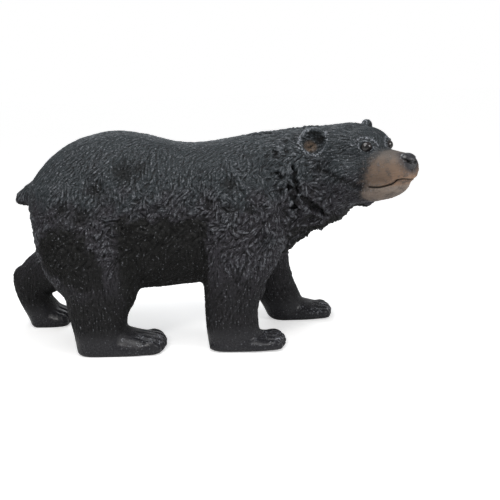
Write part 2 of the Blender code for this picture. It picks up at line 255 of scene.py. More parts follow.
# Big locks of the neck: length, half width, half depth, lift of the tip, and their rings round the neck
ruff = {
    "lock": (4.6, 1.2, 0.8, 0.35),
    "coatLock": (3.6, 1.1, 0.5, 0.2),
    "throatLock": (3.0, 0.75, 0.55, 0.5),
    "bend": -32.0,
    "lean": (-0.7, 0.3, -0.65),
    "rings": [
        (31.0, 12, -70, 62),
        (28.7, 20, -130, 95),
        (26.2, 21, -135, 112),
        (23.6, 19, -125, 92),
        (20.8, 13, -90, 52),
    ],
    "axisHigh": (22.0, 35.0, 0.3),
    "throatCount": 80,
    "throatX": (20.6, 28.0),
    "throatHalf": 6.5,
    "throatTurn": -0.35,
    "throatTop": 34.0,
    "throatLean": (-0.8, 0.25, -0.35),
    "flankZ": (15.0, 34.0),
    "flankX": (-15.0, 3.0),
    "flankCount": 26,
    "flankLean": (-0.85, 0, -0.5),
    "crestCount": 7,
    "crestX": (14.0, 27.0),
    "crestHalf": 3.0,
}

# Creases of the neck and shoulder, on both sides, pressed in and given painted shade: points, reach, depth.
# The rest are place, reach and depth
# or strength: where the throat is slimmed, the hollows of the coat, which get painted shade too, and the
# painted shade on the thighs.
folds = {
    "creases": [
        ([(16.9, -7.4, 41.9), (17.2, -8.8, 40.0)], 0.6, 0.5),
        ([(19.0, -6.0, 43.4), (19.3, -7.9, 41.3)], 0.6, 0.5),
        (
            [
                (17.4, -10.6, 37.6),
                (18.7, -10.4, 35.6),
                (19.4, -10.8, 34.5),
                (20.1, -10.6, 33.4),
                (20.7, -10.4, 30.9),
                (21.4, -9.6, 28.0),
            ],
            0.75,
            1.2,
        ),
        (
            [
                (20.1, -9.5, 38.7),
                (20.6, -9.7, 37.3),
                (21.0, -10.4, 34.1),
                (23.0, -9.6, 31.4),
                (24.5, -9.5, 30.0),
                (26.8, -8.4, 28.0),
            ],
            0.8,
            1.3,
        ),
        ([(1.3, -13.0, 23.7), (2.2, -12.6, 19.8), (1.8, -11.8, 15.7)], 0.6, 0.5),
    ],
    "slim": [((28.0, -2.0, 23.5), 4.5, 1.1), ((33.0, -5.0, 27.0), 3.0, 0.4)],
    # how far, and over what length, the creases waver; how unevenly deep they are, and the rims they raise
    "shake": 0.2,
    "shakeLength": 2.8,
    "broken": (0.75, 0.25, 3.0),
    "rim": (0.15, 1.6, 0.5),
    "leftShare": 0.4,  # hollows of the left side, which the photograph doesn't show, are fainter
    "soleEdge": (1.0, 0.35),  # how high the soles are rounded, and how far in
    "hollows": [
        ((-13.5, 11.2, 38.6), 4.0, 0.5),
        ((-10.5, 10.8, 39.8), 2.6, 0.3),
        ((-19.3, 12.5, 35.6), 2.6, 0.4),
        ((-22.4, 14.3, 30.4), 3.2, 0.5),
        ((-26.2, 14.0, 32.0), 2.4, 0.4),
        ((7.6, 12.6, 35.6), 2.4, 0.5),
        ((3.2, 13.0, 31.8), 1.6, 0.35),
        ((7.0, 13.6, 31.0), 1.5, 0.3),
        ((11.5, 13.6, 30.6), 1.7, 0.35),
        ((19.6, 8.3, 25.1), 1.2, 0.7),
        ((21.9, 8.3, 26.8), 1.2, 0.7),
    ],
    # painted shade on the thighs
    "thighShade": [
        ((-26.5, 15.0, 23.0), 6.5, 1.0),
        ((-22.5, 15.3, 19.5), 5.5, 0.9),
    ],
}

# How the coat lies: place, the way of the hair, lock length, half width and height, and strand depth.
# Rows off the middle stand for both sides.
combing = {
    "reach": 3.0,
    "waves": 10,
    "waveLength": 4.0,
    "sway": 0.75,
    "body": [
        ((-37, 0, 33), (-0.5, 0, -0.9), 1.27, 0.28, 0.15, 0.062),
        ((-30, 0, 42), (-1, 0, -0.35), 1.4, 0.28, 0.07, 0.056),
        ((-18, 0, 47), (-1, 0, 0), 1.3, 0.26, 0.05, 0.05),
        ((-4, 0, 44), (-1, 0, 0.05), 1.3, 0.26, 0.05, 0.05),
        ((8, 0, 44.5), (-1, 0, 0), 1.4, 0.28, 0.07, 0.056),
        ((18, 0, 46), (-1, 0, -0.1), 1.9, 0.37, 0.15, 0.075),
        ((26, 0, 46), (-1, 0.25, -0.1), 2.2, 0.46, 0.24, 0.088),
        ((-30, 7, 39), (-0.4, 0, -0.9), 1.2, 0.28, 0.09, 0.066),
        ((-18, 8, 44), (-0.3, 0, -0.95), 1.1, 0.26, 0.07, 0.066),
        ((-4, 8, 42), (-0.25, 0, -0.95), 1.1, 0.26, 0.07, 0.066),
        ((8, 8, 42.5), (-0.3, 0, -0.95), 1.2, 0.28, 0.09, 0.07),
        ((-33, 9, 30), (-0.35, 0, -0.9), 1.27, 0.33, 0.211, 0.08),
        ((-27, 11, 37), (-0.35, 0, -0.9), 1.1, 0.27, 0.123, 0.075),
        ((-18, 12, 38), (-0.3, 0, -0.9), 1.1, 0.27, 0.132, 0.075),
        ((-6, 12, 36), (-0.3, 0, -0.9), 1.1, 0.29, 0.141, 0.075),
        ((4, 12, 37), (-0.3, 0, -0.9), 1.19, 0.3, 0.158, 0.08),
        ((12, 11, 37), (-0.4, 0, -0.85), 1.36, 0.33, 0.194, 0.088),
        ((-28, 13, 25), (-0.3, 0, -0.95), 1.36, 0.36, 0.229, 0.09),
        ((-18, 14, 25), (-0.35, 0, -0.9), 1.36, 0.36, 0.229, 0.09),
        ((-8, 13, 29), (-0.5, 0, -0.8), 1.27, 0.36, 0.246, 0.09),
        ((0, 13, 29), (-0.5, 0, -0.8), 1.27, 0.36, 0.246, 0.09),
        ((-8, 12, 20), (-0.2, 0, -0.95), 1.36, 0.3, 0.106, 0.08),
        ((0, 12, 20), (-0.2, 0, -0.95), 1.36, 0.3, 0.106, 0.08),
        ((9, 14, 27), (-0.35, 0, -0.95), 1.53, 0.38, 0.246, 0.09),
        ((16, 12, 28), (-0.45, 0, -0.9), 2.1, 0.52, 0.34, 0.1),
        ((-8, 6, 12), (-1, 0, 0), 1.6, 0.34, 0.07, 0.06),
        ((2, 8, 14), (-0.9, 0, -0.3), 1.6, 0.35, 0.1, 0.07),
        ((23, 10, 36), (-0.8, 0, -0.55), 2.4, 0.58, 0.36, 0.1),
        ((23, 8, 27), (-0.6, 0, -0.8), 2.5, 0.58, 0.36, 0.1),
        ((29, 2, 26), (-0.3, 0, -0.95), 2.4, 0.58, 0.36, 0.1),
    ],
    "legs": [
        ((9, -14, 17), (-0.15, 0, -1), 2, 0.42, 0.12, 0.072),
        ((9, -4, 17), (-0.15, 0, -1), 1.9, 0.35, 0.09, 0.072),
        ((7, -9.5, 8), (0.0, 0, -1), 1.6, 0.32, 0.06, 0.06),
        ((8, -9.5, 3), (0.5, 0, -0.6), 1.1, 0.28, 0.03, 0.024),
        ((14, 14, 17), (0.1, 0, -1), 2, 0.42, 0.12, 0.072),
        ((14, 4, 17), (0.1, 0, -1), 1.9, 0.35, 0.09, 0.072),
        ((16, 9.5, 8), (0.25, 0, -1), 1.6, 0.32, 0.06, 0.06),
        ((20, 9.5, 3), (0.7, 0, -0.5), 1.1, 0.28, 0.03, 0.024),
        ((-21, -14, 16), (0.05, 0, -1), 2, 0.42, 0.12, 0.072),
        ((-21, -4, 16), (0.05, 0, -1), 1.9, 0.35, 0.09, 0.072),
        ((-21, -10, 8), (0.05, 0, -1), 1.6, 0.32, 0.06, 0.06),
        ((-17, -10, 3), (0.7, 0, -0.5), 1.1, 0.28, 0.03, 0.024),
        ((-30, 14, 19), (-0.6, 0, -0.8), 2, 0.42, 0.12, 0.072),
        ((-34, 5, 16), (-0.6, 0, -0.8), 1.9, 0.35, 0.09, 0.072),
        ((-42, 10, 13), (-0.1, 0, -1), 1.6, 0.32, 0.06, 0.06),
        ((-42, 10, 8), (0.15, 0, -1), 1.6, 0.32, 0.06, 0.06),
        ((-37, 10, 3), (0.7, 0, -0.5), 1.1, 0.28, 0.03, 0.024),
    ],
    "head": [
        ((16, 2.5, 1), (-1, 0, 0), 0.8, 0.24, 0.02, 0.02),
        ((12, 0, 2.6), (-1, 0, 0.1), 0.8, 0.24, 0.03, 0.025),
        ((12, 4, -2), (-1, 0.1, -0.15), 0.8, 0.24, 0.03, 0.025),
        ((14, 2, -7), (-1, 0, -0.05), 0.8, 0.24, 0.03, 0.025),
        ((8.5, 0, 5.5), (-0.9, 0, 0.4), 1.1, 0.24, 0.05, 0.03),
        ((8, 5.5, 0), (-1, 0.3, -0.2), 1.1, 0.26, 0.07, 0.055),
        ((3, 3, 8.2), (-1, 0.15, 0.1), 1.3, 0.28, 0.07, 0.05),
        ((-3, 0, 8.6), (-1, 0, -0.05), 1.8, 0.38, 0.11, 0.05),
        ((3, 7.5, 2), (-0.95, 0.2, -0.2), 1.2, 0.3, 0.1, 0.06),
        ((3, 7.5, -4), (-0.85, 0, -0.5), 1.6, 0.36, 0.16, 0.07),
        ((-3, 8.5, -3), (-0.8, 0, -0.6), 2.6, 0.64, 0.27, 0.07),
        ((-3, 7, -9), (-0.8, 0, -0.5), 2.9, 0.72, 0.32, 0.07),
        ((7, 2, -8.6), (-1, 0, -0.15), 1.3, 0.3, 0.07, 0.04),
        ((1, 2, -9.5), (-1, 0, -0.3), 2.4, 0.59, 0.25, 0.06),
        ((-1.5, 9, 8.5), (-0.3, 0.5, 0.8), 1, 0.26, 0.05, 0.03),
    ],
}


def smoothThrough(rows, steps):  # Catmull-Rom through rows of numbers
    points = [Vector(row) for row in rows]
    ends = [points[0] * 2 - points[1]] + points + [points[-1] * 2 - points[-2]]
    out = []
    for a, b, c, d in zip(ends, ends[1:], ends[2:], ends[3:]):
        for step in range(steps):
            t = step / steps
            linear = (c - a) * t
            square = (2 * a - 5 * b + 4 * c - d) * t**2
            cube = (3 * b - a - 3 * c + d) * t**3
            out.append(0.5 * (2 * b + linear + square + cube))
    return out + [points[-1]]


def turned(degrees):
    x, y, z = (math.radians(angle) for angle in degrees)
    return Matrix.Rotation(z, 4, "Z") @ Matrix.Rotation(y, 4, "Y") @ Matrix.Rotation(x, 4, "X")


headPlace = Matrix.Translation(head["at"]) @ turned((0, -head["pitch"], head["yaw"]))


def tube(bm, stations, place=Matrix(), power=2.0, egg=0.0, facing=None, sides=32, steps=3):
    # a capped circle is extruded from station to station; each ring is shaped by its own bearing
    rows = smoothThrough(stations, steps)
    centres = [Vector(row[:3]) for row in rows]
    layers = bm.verts.layers.float
    bearing = layers.get("bearing") or layers.new("bearing")
    ring = bmesh.ops.create_circle(bm, cap_ends=True, segments=sides, radius=1.0)["verts"]
    cap = ring[0].link_faces[0]
    for v in ring:
        v[bearing] = math.atan2(v.co.y, v.co.x)
    for i, row in enumerate(rows):
        if i:
            grown = bmesh.ops.extrude_face_region(bm, geom=[cap])["geom"]
            ring = [g for g in grown if isinstance(g, bmesh.types.BMVert)]
            cap = [g for g in grown if isinstance(g, bmesh.types.BMFace)][0]
        path = centres[min(i + 1, len(rows) - 1)] - centres[max(i - 1, 0)]
        along = Vector(facing or path).normalized()
        side = Vector((0, 1, 0))
        across = (side - along * along.dot(side)).normalized()
        up = along.cross(across)
        for v in ring:
            c, s = math.cos(v[bearing]), math.sin(v[bearing])
            wide = math.copysign(abs(c) ** (2 / power), c) * (1 - egg * s)
            high = math.copysign(abs(s) ** (2 / power), s)
            v.co = place @ (centres[i] + across * row[3] * wide + up * row[4] * high)


def ball(bm, centre, half, turn=(0, 0, 0), place=Matrix(), sides=32):
    matrix = place @ Matrix.Translation(centre) @ turned(turn) @ Matrix.Diagonal((*half, 1))
    return bmesh.ops.create_uvsphere(bm, u_segments=sides, v_segments=sides // 2, radius=1.0, matrix=matrix)


def bothSides(centre):
    x, y, z = centre
    return [(x, y, z, 1)] if y == 0 else [(x, y, z, 1), (x, -y, z, -1)]


def objectFrom(name, bm):
    mesh = bpy.data.meshes.new(name)
    bm.to_mesh(mesh)
    bm.free()
    obj = bpy.data.objects.new(name, mesh)
    bpy.context.scene.collection.objects.link(obj)
    return obj


def fused(obj, voxel, rounding, levels=0):  # overlapping forms made one skin, with the joins rounded off
    remesh = obj.modifiers.new("oneSkin", "REMESH")
    remesh.mode = "VOXEL"
    remesh.voxel_size = voxel
    smooth = obj.modifiers.new("rounding", "SMOOTH")
    smooth.factor = 0.5
    smooth.iterations = rounding
    if levels:
        finer = obj.modifiers.new("finer", "SUBSURF")
        finer.levels = levels
        finer.render_levels = levels
    graph = bpy.context.evaluated_depsgraph_get()
    mesh = bpy.data.meshes.new_from_object(obj.evaluated_get(graph))
    obj.modifiers.clear()
    obj.data = mesh


def addForms(obj, bm):
    bm.from_mesh(obj.data)
    bpy.data.objects.remove(obj)
    return objectFrom("wholeBear", bm)


def bodyForms():
    bm = bmesh.new()
    stations = []
    for x, low, high, half in figure["trunk"]:
        stations.append((x, 0.0, (low + high) / 2, half, (high - low) / 2))
    tube(bm, stations, power=figure["trunkPower"], egg=figure["trunkEgg"], facing=(1, 0, 0))
    for side in (-1, 1):
        for x, y, z, step, half, lean in figure["masses"]:
            ball(bm, (x + step * side, side * y, z), half, turn=(side * lean, 0, 0))
    centre, half, turn = figure["chest"]
    ball(bm, centre, half, turn=turn)
    tube(bm, figure["neck"], power=figure["trunkPower"])
    tube(bm, figure["tail"])
    for leg in figure["legs"]:
        tube(bm, leg, power=figure["legPower"])
    return bm


def headAndPaws():
    bm = bmesh.new()
    tube(bm, head["muzzle"], headPlace, power=head["power"])
    tube(bm, head["jaw"], headPlace, power=head["power"])
    for centre, half in head["forms"]:
        for x, y, z, side in bothSides(centre):
            ball(bm, (x, y, z), half, place=headPlace)
    tilt, lean, swing = head["earTurn"]
    for (x, y, z), side in head["ears"]:
        ball(bm, (x, y, z), head["earSize"], turn=(side * tilt, lean, side * swing), place=headPlace)
    for heel, toe, halfWidth, height in paws["places"]:
        start, along = Vector(heel), Vector(toe) - Vector(heel)
        length = along.length
        place = Matrix.Translation(start) @ turned((0, 0, math.degrees(math.atan2(along.y, along.x))))
        stations = []
        for far, w, h in paws["shape"]:
            stations.append((far * length, 0.0, paws["middleHigh"], w * halfWidth, h * height))
        tube(bm, stations, place, facing=(1, 0, 0))
        long, wide, high = paws["toeSize"]
        for i in range(paws["toes"]):
            share = i / (paws["toes"] - 1) * 2 - 1
            forward = length * (paws["toeAt"] - paws["toeFall"] * share**2)
            centre = (forward, share * halfWidth * paws["toeSpread"], paws["toeHigh"])
            ball(bm, centre, (length * long, halfWidth * wide, height * high), place=place)
    return bm


def scattered(i, salt):  # a share from 0 to 1, always the same for the same number
    return (math.sin(i * 12.9898 + salt * 78.233) * 43758.5453) % 1.0


def lockShape(size):  # one big lock along X, its root at the origin
    length, halfWidth, halfDepth, lift = size
    stations = [
        (0.0, 0, -0.9 * halfDepth, 0.55 * halfWidth, 0.8 * halfDepth),
        (0.3 * length, 0, -0.35 * halfDepth, halfWidth, halfDepth),
        (0.65 * length, 0, 0.3 * lift, 0.75 * halfWidth, 0.85 * halfDepth),
        (length, 0, lift, 0.12 * halfWidth, 0.2 * halfDepth),
    ]
    bm = bmesh.new()
    tube(bm, stations, sides=12, steps=3)
    mesh = bpy.data.meshes.new("lock")
    bm.to_mesh(mesh)
    bm.free()
    return mesh


def placeLock(bm, shape, root, normal, along):
    along = (along - normal * along.dot(normal)).normalized()
    place = Matrix((along, normal.cross(along), normal)).transposed().to_4x4()
    place.translation = root
    copy = shape.copy()
    copy.transform(place)
    bm.from_mesh(copy)
    bpy.data.meshes.remove(copy)


def bigLocks(tree):
    bm = bmesh.new()
    neckLock, coatLock = lockShape(ruff["lock"]), lockShape(ruff["coatLock"])
    bend = turned((0, 0, ruff["bend"]))
    fromX, fromZ, climb = ruff["axisHigh"]
    for x, count, start, end in ruff["rings"]:
        axis = Vector((x, 0, fromZ + climb * (x - fromX)))
        for i in range(count):
            angle = math.radians(start + (end - start) * (i + 0.7 * scattered(i, x)) / count)
            out = bend @ Vector((0, -math.sin(angle), -math.cos(angle)))
            hit, normal, index, far = tree.ray_cast(axis + out * 30, -out)
            if hit is not None:
                placeLock(bm, neckLock, hit, normal, Vector(ruff["lean"]))
    lowX, highX = ruff["flankX"]
    lowZ, highZ = ruff["flankZ"]
    for side in (-1, 1):
        for i in range(ruff["flankCount"]):
            x = lowX + (highX - lowX) * scattered(i, side)
            z = lowZ + (highZ - lowZ) * (i + scattered(i, 5)) / ruff["flankCount"]
            hit, normal, index, far = tree.ray_cast(Vector((x, side * 30, z)), Vector((0, -side, 0)))
            if hit is not None:
                placeLock(bm, coatLock, hit, normal, Vector(ruff["flankLean"]))
    throatLock = lockShape(ruff["throatLock"])
    lowX, highX = ruff["throatX"]
    for i in range(ruff["throatCount"]):
        x = lowX + (highX - lowX) * scattered(i, 11)
        y = ruff["throatHalf"] * (scattered(i, 12) * 2 - 1) + ruff["throatTurn"] * (x - fromX)
        hit, normal, index, far = tree.ray_cast(Vector((x, y, 12)), Vector((0, 0, 1)))
        if hit is not None and hit.z < ruff["throatTop"]:
            placeLock(bm, throatLock, hit, normal, Vector(ruff["throatLean"]))
    lowX, highX = ruff["crestX"]
    for i in range(ruff["crestCount"]):
        x = lowX + (highX - lowX) * (i + 0.5) / ruff["crestCount"]
        y = ruff["crestHalf"] * (scattered(i, 3) * 2 - 1)
        hit, normal, index, far = tree.ray_cast(Vector((x, y, 60)), Vector((0, 0, -1)))
        if hit is not None:
            placeLock(bm, coatLock, hit, normal, Vector((-1, 0, 0)))
    return bm


def pointsOf(mesh):  # vertices as an array, one row each
    flat = np.empty(len(mesh.vertices) * 3, np.float32)
    mesh.vertices.foreach_get("co", flat)
    return flat.reshape(-1, 3).astype(float)


def normalsOf(mesh):
    flat = np.empty(len(mesh.vertices) * 3, np.float32)
    mesh.vertex_normals.foreach_get("vector", flat)
    return flat.reshape(-1, 3).astype(float)


def edgesOf(mesh):
    flat = np.empty(len(mesh.edges) * 2, np.int32)
    mesh.edges.foreach_get("vertices", flat)
    return flat.reshape(-1, 2)


def setPoints(mesh, points):
    mesh.vertices.foreach_set("co", points.astype(np.float32).ravel())
    mesh.update()


def spread(values, edges, rounds):  # each value eased towards its neighbours'
    a, b = edges[:, 0], edges[:, 1]
    count = np.maximum(np.bincount(a, minlength=len(values)) + np.bincount(b, minlength=len(values)), 1)
    for turn in range(rounds):
        total = np.bincount(a, values[b], len(values)) + np.bincount(b, values[a], len(values))
        values = 0.5 * values + 0.5 * total / count
    return values


def relaxed(points, edges, rounds, share):
    soft = np.stack([spread(points[:, i], edges, rounds) for i in range(3)], 1)
    return points + (soft - points) * share[:, None]


def ease(low, high, value):
    t = np.clip((value - low) / (high - low), 0, 1)
    return t * t * (3 - 2 * t)


def unit(vectors):
    return vectors / np.maximum(np.linalg.norm(vectors, axis=1, keepdims=True), 1e-9)


headTurn = np.array(headPlace.to_3x3())
headAt = np.array(head["at"])


def inHead(points):
    return (points - headAt) @ headTurn


def ripple(points, wave, count, salt):  # a smooth random swell from waves of about one length
    dice = np.random.default_rng(salt)
    total = np.zeros(len(points))
    for turn in range(count):
        way = dice.normal(0, 1, 3)
        way *= math.tau / wave / np.linalg.norm(way) * dice.uniform(0.7, 1.4)
        total += np.sin(points @ way + dice.uniform(0, math.tau))
    return total / math.sqrt(count / 2)


def onSkin(path, points, normals):
    # a path moved onto the nearest patch of the skin
    stops = []
    for stop in smoothThrough(path, 4):
        stop = np.array(stop)
        near = np.argsort(((points - stop) ** 2).sum(1))[:8]
        out = unit(normals[near].mean(0)[None])[0]
        stops.append(stop + out * ((points[near] - stop).mean(0) @ out))
    return stops


def lineDistance(points, path, steps=4):
    stops = [np.array(p) for p in smoothThrough(path, steps)]
    near = np.full(len(points), 1e9)
    for a, b in zip(stops, stops[1:]):
        along = b - a
        t = np.clip((points - a) @ along / (along @ along), 0, 1)
        near = np.minimum(near, np.linalg.norm(points - a - t[:, None] * along, axis=1))
    return near


def earCups(mesh):
    points = pointsOf(mesh)
    tilt, lean, swing = head["earTurn"]
    reach, depth = head["earCup"]
    for (x, y, z), side in head["ears"]:
        out = (headPlace.to_3x3() @ turned((side * tilt, lean, side * swing)).to_3x3()) @ Vector((1, 0, 0))
        middle = np.array(headPlace @ Vector((x, y, z)) + out * head["earSize"][0])
        near = np.linalg.norm(points - middle, axis=1) / reach
        points -= np.array(out) * (depth * np.clip(1 - near**2, 0, 1))[:, None]
    setPoints(mesh, points)


def eyeSockets(mesh):
    points, normals = pointsOf(mesh), normalsOf(mesh)
    centre, reach, depth = head["eyeSocket"]
    for x, y, z, side in bothSides(centre):
        near = np.linalg.norm(points - np.array(headPlace @ Vector((x, y, z))), axis=1) / reach
        points -= normals * (depth * np.clip(1 - near**2, 0, 1))[:, None]
    setPoints(mesh, points)


def finerFace(mesh):
    points = inHead(pointsOf(mesh))
    fromX, wide, high = figure["finerFace"]
    near = (points[:, 0] > fromX) & (np.abs(points[:, 1]) < wide) & (np.abs(points[:, 2]) < high)
    bm = bmesh.new()
    bm.from_mesh(mesh)
    edges = [e for e in bm.edges if near[e.verts[0].index] and near[e.verts[1].index]]
    bmesh.ops.subdivide_edges(bm, edges=edges, cuts=1, use_grid_fill=True)
    bm.to_mesh(mesh)
    bm.free()


def toeGrooves(points):
    grooves = np.zeros(len(points))
    for heel, toe, halfWidth, height in paws["places"]:
        start, along = np.array(heel, float), np.array(toe, float) - np.array(heel, float)
        length = np.linalg.norm(along)
        along /= length
        off = points - start
        x, y = off @ along, off @ np.array((-along[1], along[0], 0))
        here = ease(0.62, 0.8, x / length) * (x < length * 1.2) * (np.abs(y) < halfWidth * 1.1)
        here = here * ease(0.4, 1.2, points[:, 2]) * (points[:, 2] < height * 1.2)
        step = halfWidth * paws["toeSpread"] * 2 / (paws["toes"] - 1)
        for i in range(paws["toes"] - 1):
            middle = (i - (paws["toes"] - 2) / 2) * step
            grooves = np.maximum(grooves, here * np.exp(-(((y - middle) / paws["grooveWidth"]) ** 2)))
    return grooves


# Lines and soft forms of the face, in the frame of the head. Those of the eye are in rings of its own size.
carving = {
    "faceFrom": (4.0, 7.0),
    "faceHalf": (9.0, 11.0),
    "smoothing": 6,
    # where the mouth can be: from this x forward, within this y and z
    "mouthZone": (8.0, 5.0, 8.0),
    "mouth": (0.24, 0.32),  # half width, depth
    "lips": (0.5, 0.28, 0.07),  # how far from the line, width, height
    "orange": (11.5, 16.5, 1.8),  # from x, full at x, reach from the line
    "philtrum": (0.18, 0.16),
    "noseSeat": (0.8, 1.25, 0.9),  # ahead of the nose, reach, depth
    "cheekCrease": (1.1, 0.45),
    "eyeReach": 3.6,
    "eyeSlant": 0.12,
    "eyeShape": (1.2, 0.92),
    "rim": (1.12, 0.17, 0.10),  # ring, width, height
    "fold": (1.62, 0.16, 0.07),
    "brow": (1.95, 0.36, 0.03),
    "eyeBed": 0.25,
    # strength of the painted shade in the cheek crease, toe grooves, creases, hollows and eye fold
    "shades": (0.8, 0.9, 0.9, 0.95, 0.6),
    "brushedLids": 0.6,
}


def carveFace(mesh):
    points, normals, edges = pointsOf(mesh), normalsOf(mesh), edgesOf(mesh)
    local = inHead(points)
    wide, high = carving["faceHalf"]
    onFace = ease(*carving["faceFrom"], local[:, 0])
    onFace = onFace * (np.abs(local[:, 1]) < wide) * (np.abs(local[:, 2]) < high)
    points = relaxed(points, edges, carving["smoothing"], onFace)
    local = inHead(points)
    mirrored = local * np.array((1, 0, 1)) + np.abs(local) * np.array((0, 1, 0))
    press = np.zeros(len(points))
    # mouth: a thin line between the lips, and the lips a little full on either side
    fromX, wide, high = carving["mouthZone"]
    front = (local[:, 0] > fromX) & (np.abs(local[:, 1]) < wide) & (np.abs(local[:, 2]) < high)
    leftHalf = front & (local[:, 1] > -0.1)
    skin, facing = mirrored[leftHalf], (normals @ headTurn)[leftHalf]
    far = lineDistance(mirrored, onSkin(head["mouth"], skin, facing), 1)
    halfWidth, depth = carving["mouth"]
    mouth = np.clip(1 - (far / halfWidth) ** 2, 0, 1)
    press += depth * mouth
    at, width, height = carving["lips"]
    press -= height * np.exp(-(((far - at) / width) ** 2))
    fromX, fullX, reach = carving["orange"]
    lipward = ease(fromX, fullX, local[:, 0]) * np.exp(-((far / reach) ** 2))
    far = lineDistance(mirrored, onSkin(head["philtrum"], skin, facing), 1)
    halfWidth, depth = carving["philtrum"]
    press += depth * np.exp(-((far / halfWidth) ** 2))
    centre, reach, depth = head["lipFront"]
    press -= depth * np.exp(-((np.linalg.norm(local - np.array(centre), axis=1) / reach) ** 2))
    ahead, reach, depth = carving["noseSeat"]
    far = np.linalg.norm(local - np.array(head["nose"][0]) - np.array((ahead, 0, 0)), axis=1)
    press += depth * np.exp(-((far / reach) ** 2))
    # cheek: a crease from under the ear to the corner of the mouth
    reach, depth = carving["cheekCrease"]
    far = lineDistance(mirrored, head["cheekCrease"])
    crease = np.clip(1 - (far / reach) ** 2, 0, 1) ** 2
    press += depth * crease
    # lids: an almond rim round the eye, with a fold and a brow above it
    eye = np.array(head["eye"][0])
    gaze = unit(np.array([head["gaze"]]))[0]
    level = np.cross((0, 0, 1), gaze)
    level /= np.linalg.norm(level)
    upright = np.cross(gaze, level)
    off = mirrored - eye
    near = np.linalg.norm(off, axis=1) < carving["eyeReach"]
    a, b = off @ level, off @ upright
    b = b - carving["eyeSlant"] * a
    wide, high = carving["eyeShape"]
    ring = np.hypot(a / wide, b / high)
    rimAt, rimWide, rimHigh = carving["rim"]
    foldAt, foldWide, foldDeep = carving["fold"]
    browAt, browWide, browHigh = carving["brow"]
    rim = near * np.exp(-(((ring - rimAt) / rimWide) ** 2))
    fold = near * np.exp(-(((ring - foldAt) / foldWide) ** 2)) * ease(-0.3, 0.5, b)
    brow = near * np.exp(-(((ring - browAt) / browWide) ** 2)) * ease(-0.6, 0.6, b)
    press -= rimHigh * rim + browHigh * brow
    press += foldDeep * fold
    press += near * carving["eyeBed"] * np.clip(1 - ring, 0, 1)
    toes = toeGrooves(points)
    press += paws["grooveDepth"] * toes
    # painted shade in the cheek crease and the toe grooves
    inCheek, inToes, inCreases, inHollows, inFold = carving["shades"]
    shade = np.maximum(inCheek * crease, inToes * toes)
    # creases and hollows of the neck and coat, pressed in and given painted shade
    waver = [ripple(points, folds["shakeLength"], 8, salt) for salt in (31, 32, 33)]
    shaken = points + folds["shake"] * np.stack(waver, 1)
    level, uneven, wave = folds["broken"]
    broken = level + uneven * ripple(points, wave, 8, 34)
    rimHigh, rimAt, rimWide = folds["rim"]
    for path, reach, depth in folds["creases"]:
        for side in (-1, 1):
            far = lineDistance(shaken, [(x, y * side, z) for x, y, z in path]) / reach
            ridge = rimHigh * np.exp(-(((far - rimAt) / rimWide) ** 2))
            press += depth * broken * np.clip(1 - far**2, 0, 1) - ridge
            shade = np.maximum(shade, np.clip(1.0 - far**2, 0, 1) * inCreases)
    for place, reach, depth in folds["slim"]:
        far = np.linalg.norm(points - np.array(place), axis=1)
        press += depth * np.clip(1 - (far / reach) ** 2, 0, 1)
    reach, depth = folds["soleEdge"]
    press += depth * np.clip(1 - points[:, 2] / reach, 0, 1.6) ** 2
    for (x, y, z), reach, depth in folds["hollows"]:
        for side in (-1, 1):
            far = np.linalg.norm(points - np.array((x, y * side, z)), axis=1)
            dip = np.clip(1 - (far / reach) ** 2, 0, 1) ** 2
            dip *= 1.0 if side < 0 else folds["leftShare"]
            press += depth * dip
            shade = np.maximum(shade, inHollows * dip)
    points -= normals * press[:, None]
    setPoints(mesh, points)
    # painted shade in the fold above the eye
    shade = np.maximum(shade, inFold * fold)
    return mouth, shade, carving["brushedLids"] * np.maximum(rim, brow), lipward


def combed(points, normals):
    # every row of the combing pulls on the skin near it
    rows = []
    for (x, y, z), way, *size in combing["body"]:
        for x, y, z, side in bothSides((x, y, z)):
            rows.append(((x, y, z), (way[0], way[1] * side, way[2]), size))
    for place, way, *size in combing["legs"]:
        rows.append((place, way, size))
    for place, way, *size in combing["head"]:
        for x, y, z, side in bothSides(place):
            spot = headPlace @ Vector((x, y, z))
            lie = headPlace.to_3x3() @ Vector((way[0], way[1] * side, way[2]))
            rows.append((tuple(spot), tuple(lie), size))
    total = np.zeros(len(points))
    flow = np.zeros_like(points)
    sizes = np.zeros((len(points), 4))
    for place, way, size in rows:
        far = ((points - np.array(place)) ** 2).sum(1)
        pull = 1 / (far + combing["reach"] ** 2) ** 2
        total += pull
        flow += pull[:, None] * unit(np.array([way]))
        sizes += pull[:, None] * np.array(size)
    sizes /= total[:, None]
    # tufts lie every way a little, more so where the coat is rough
    sway = combing["sway"] * ripple(points, combing["waveLength"], combing["waves"], 7)
    sway *= ease(0.05, 0.25, sizes[:, 2])
    flow -= normals * (flow * normals).sum(1)[:, None]
    flow = unit(flow)
    flow = flow * np.cos(sway)[:, None] + np.cross(normals, flow) * np.sin(sway)[:, None]
    flow -= normals * (flow * normals).sum(1)[:, None]
    return unit(flow), sizes


# How the locks and hairs are laid
coat = {
    "seed": 36,
    "spacing": 0.8,
    "tries": 160000,
    "neighbours": 9,
    "swing": 0.22,
    # least and most, as shares of what the combing says
    "lengths": (0.75, 1.3),
    "widths": (0.75, 1.3),
    "heights": (0.5, 1.4),
    # locks are taller and shorter in patches
    "patchiness": 0.45,
    "patchWave": 3.5,
    "bend": 0.16,
    # outline and height along a lock: sharpness of its tip, girth at root and growth, rise from its root
    "tip": 2.4,
    "girth": (0.7, 0.6),
    "rise": (0.15, 0.85, 0.9),
    "strandStep": 1.25,
    "strandSteps": 6,
    "sunk": 0.55,
    "lumps": (3.2, 0.16),  # wave and height
    "smallLumps": (1.5, 0.05),
    "cavityRounds": 30,
}


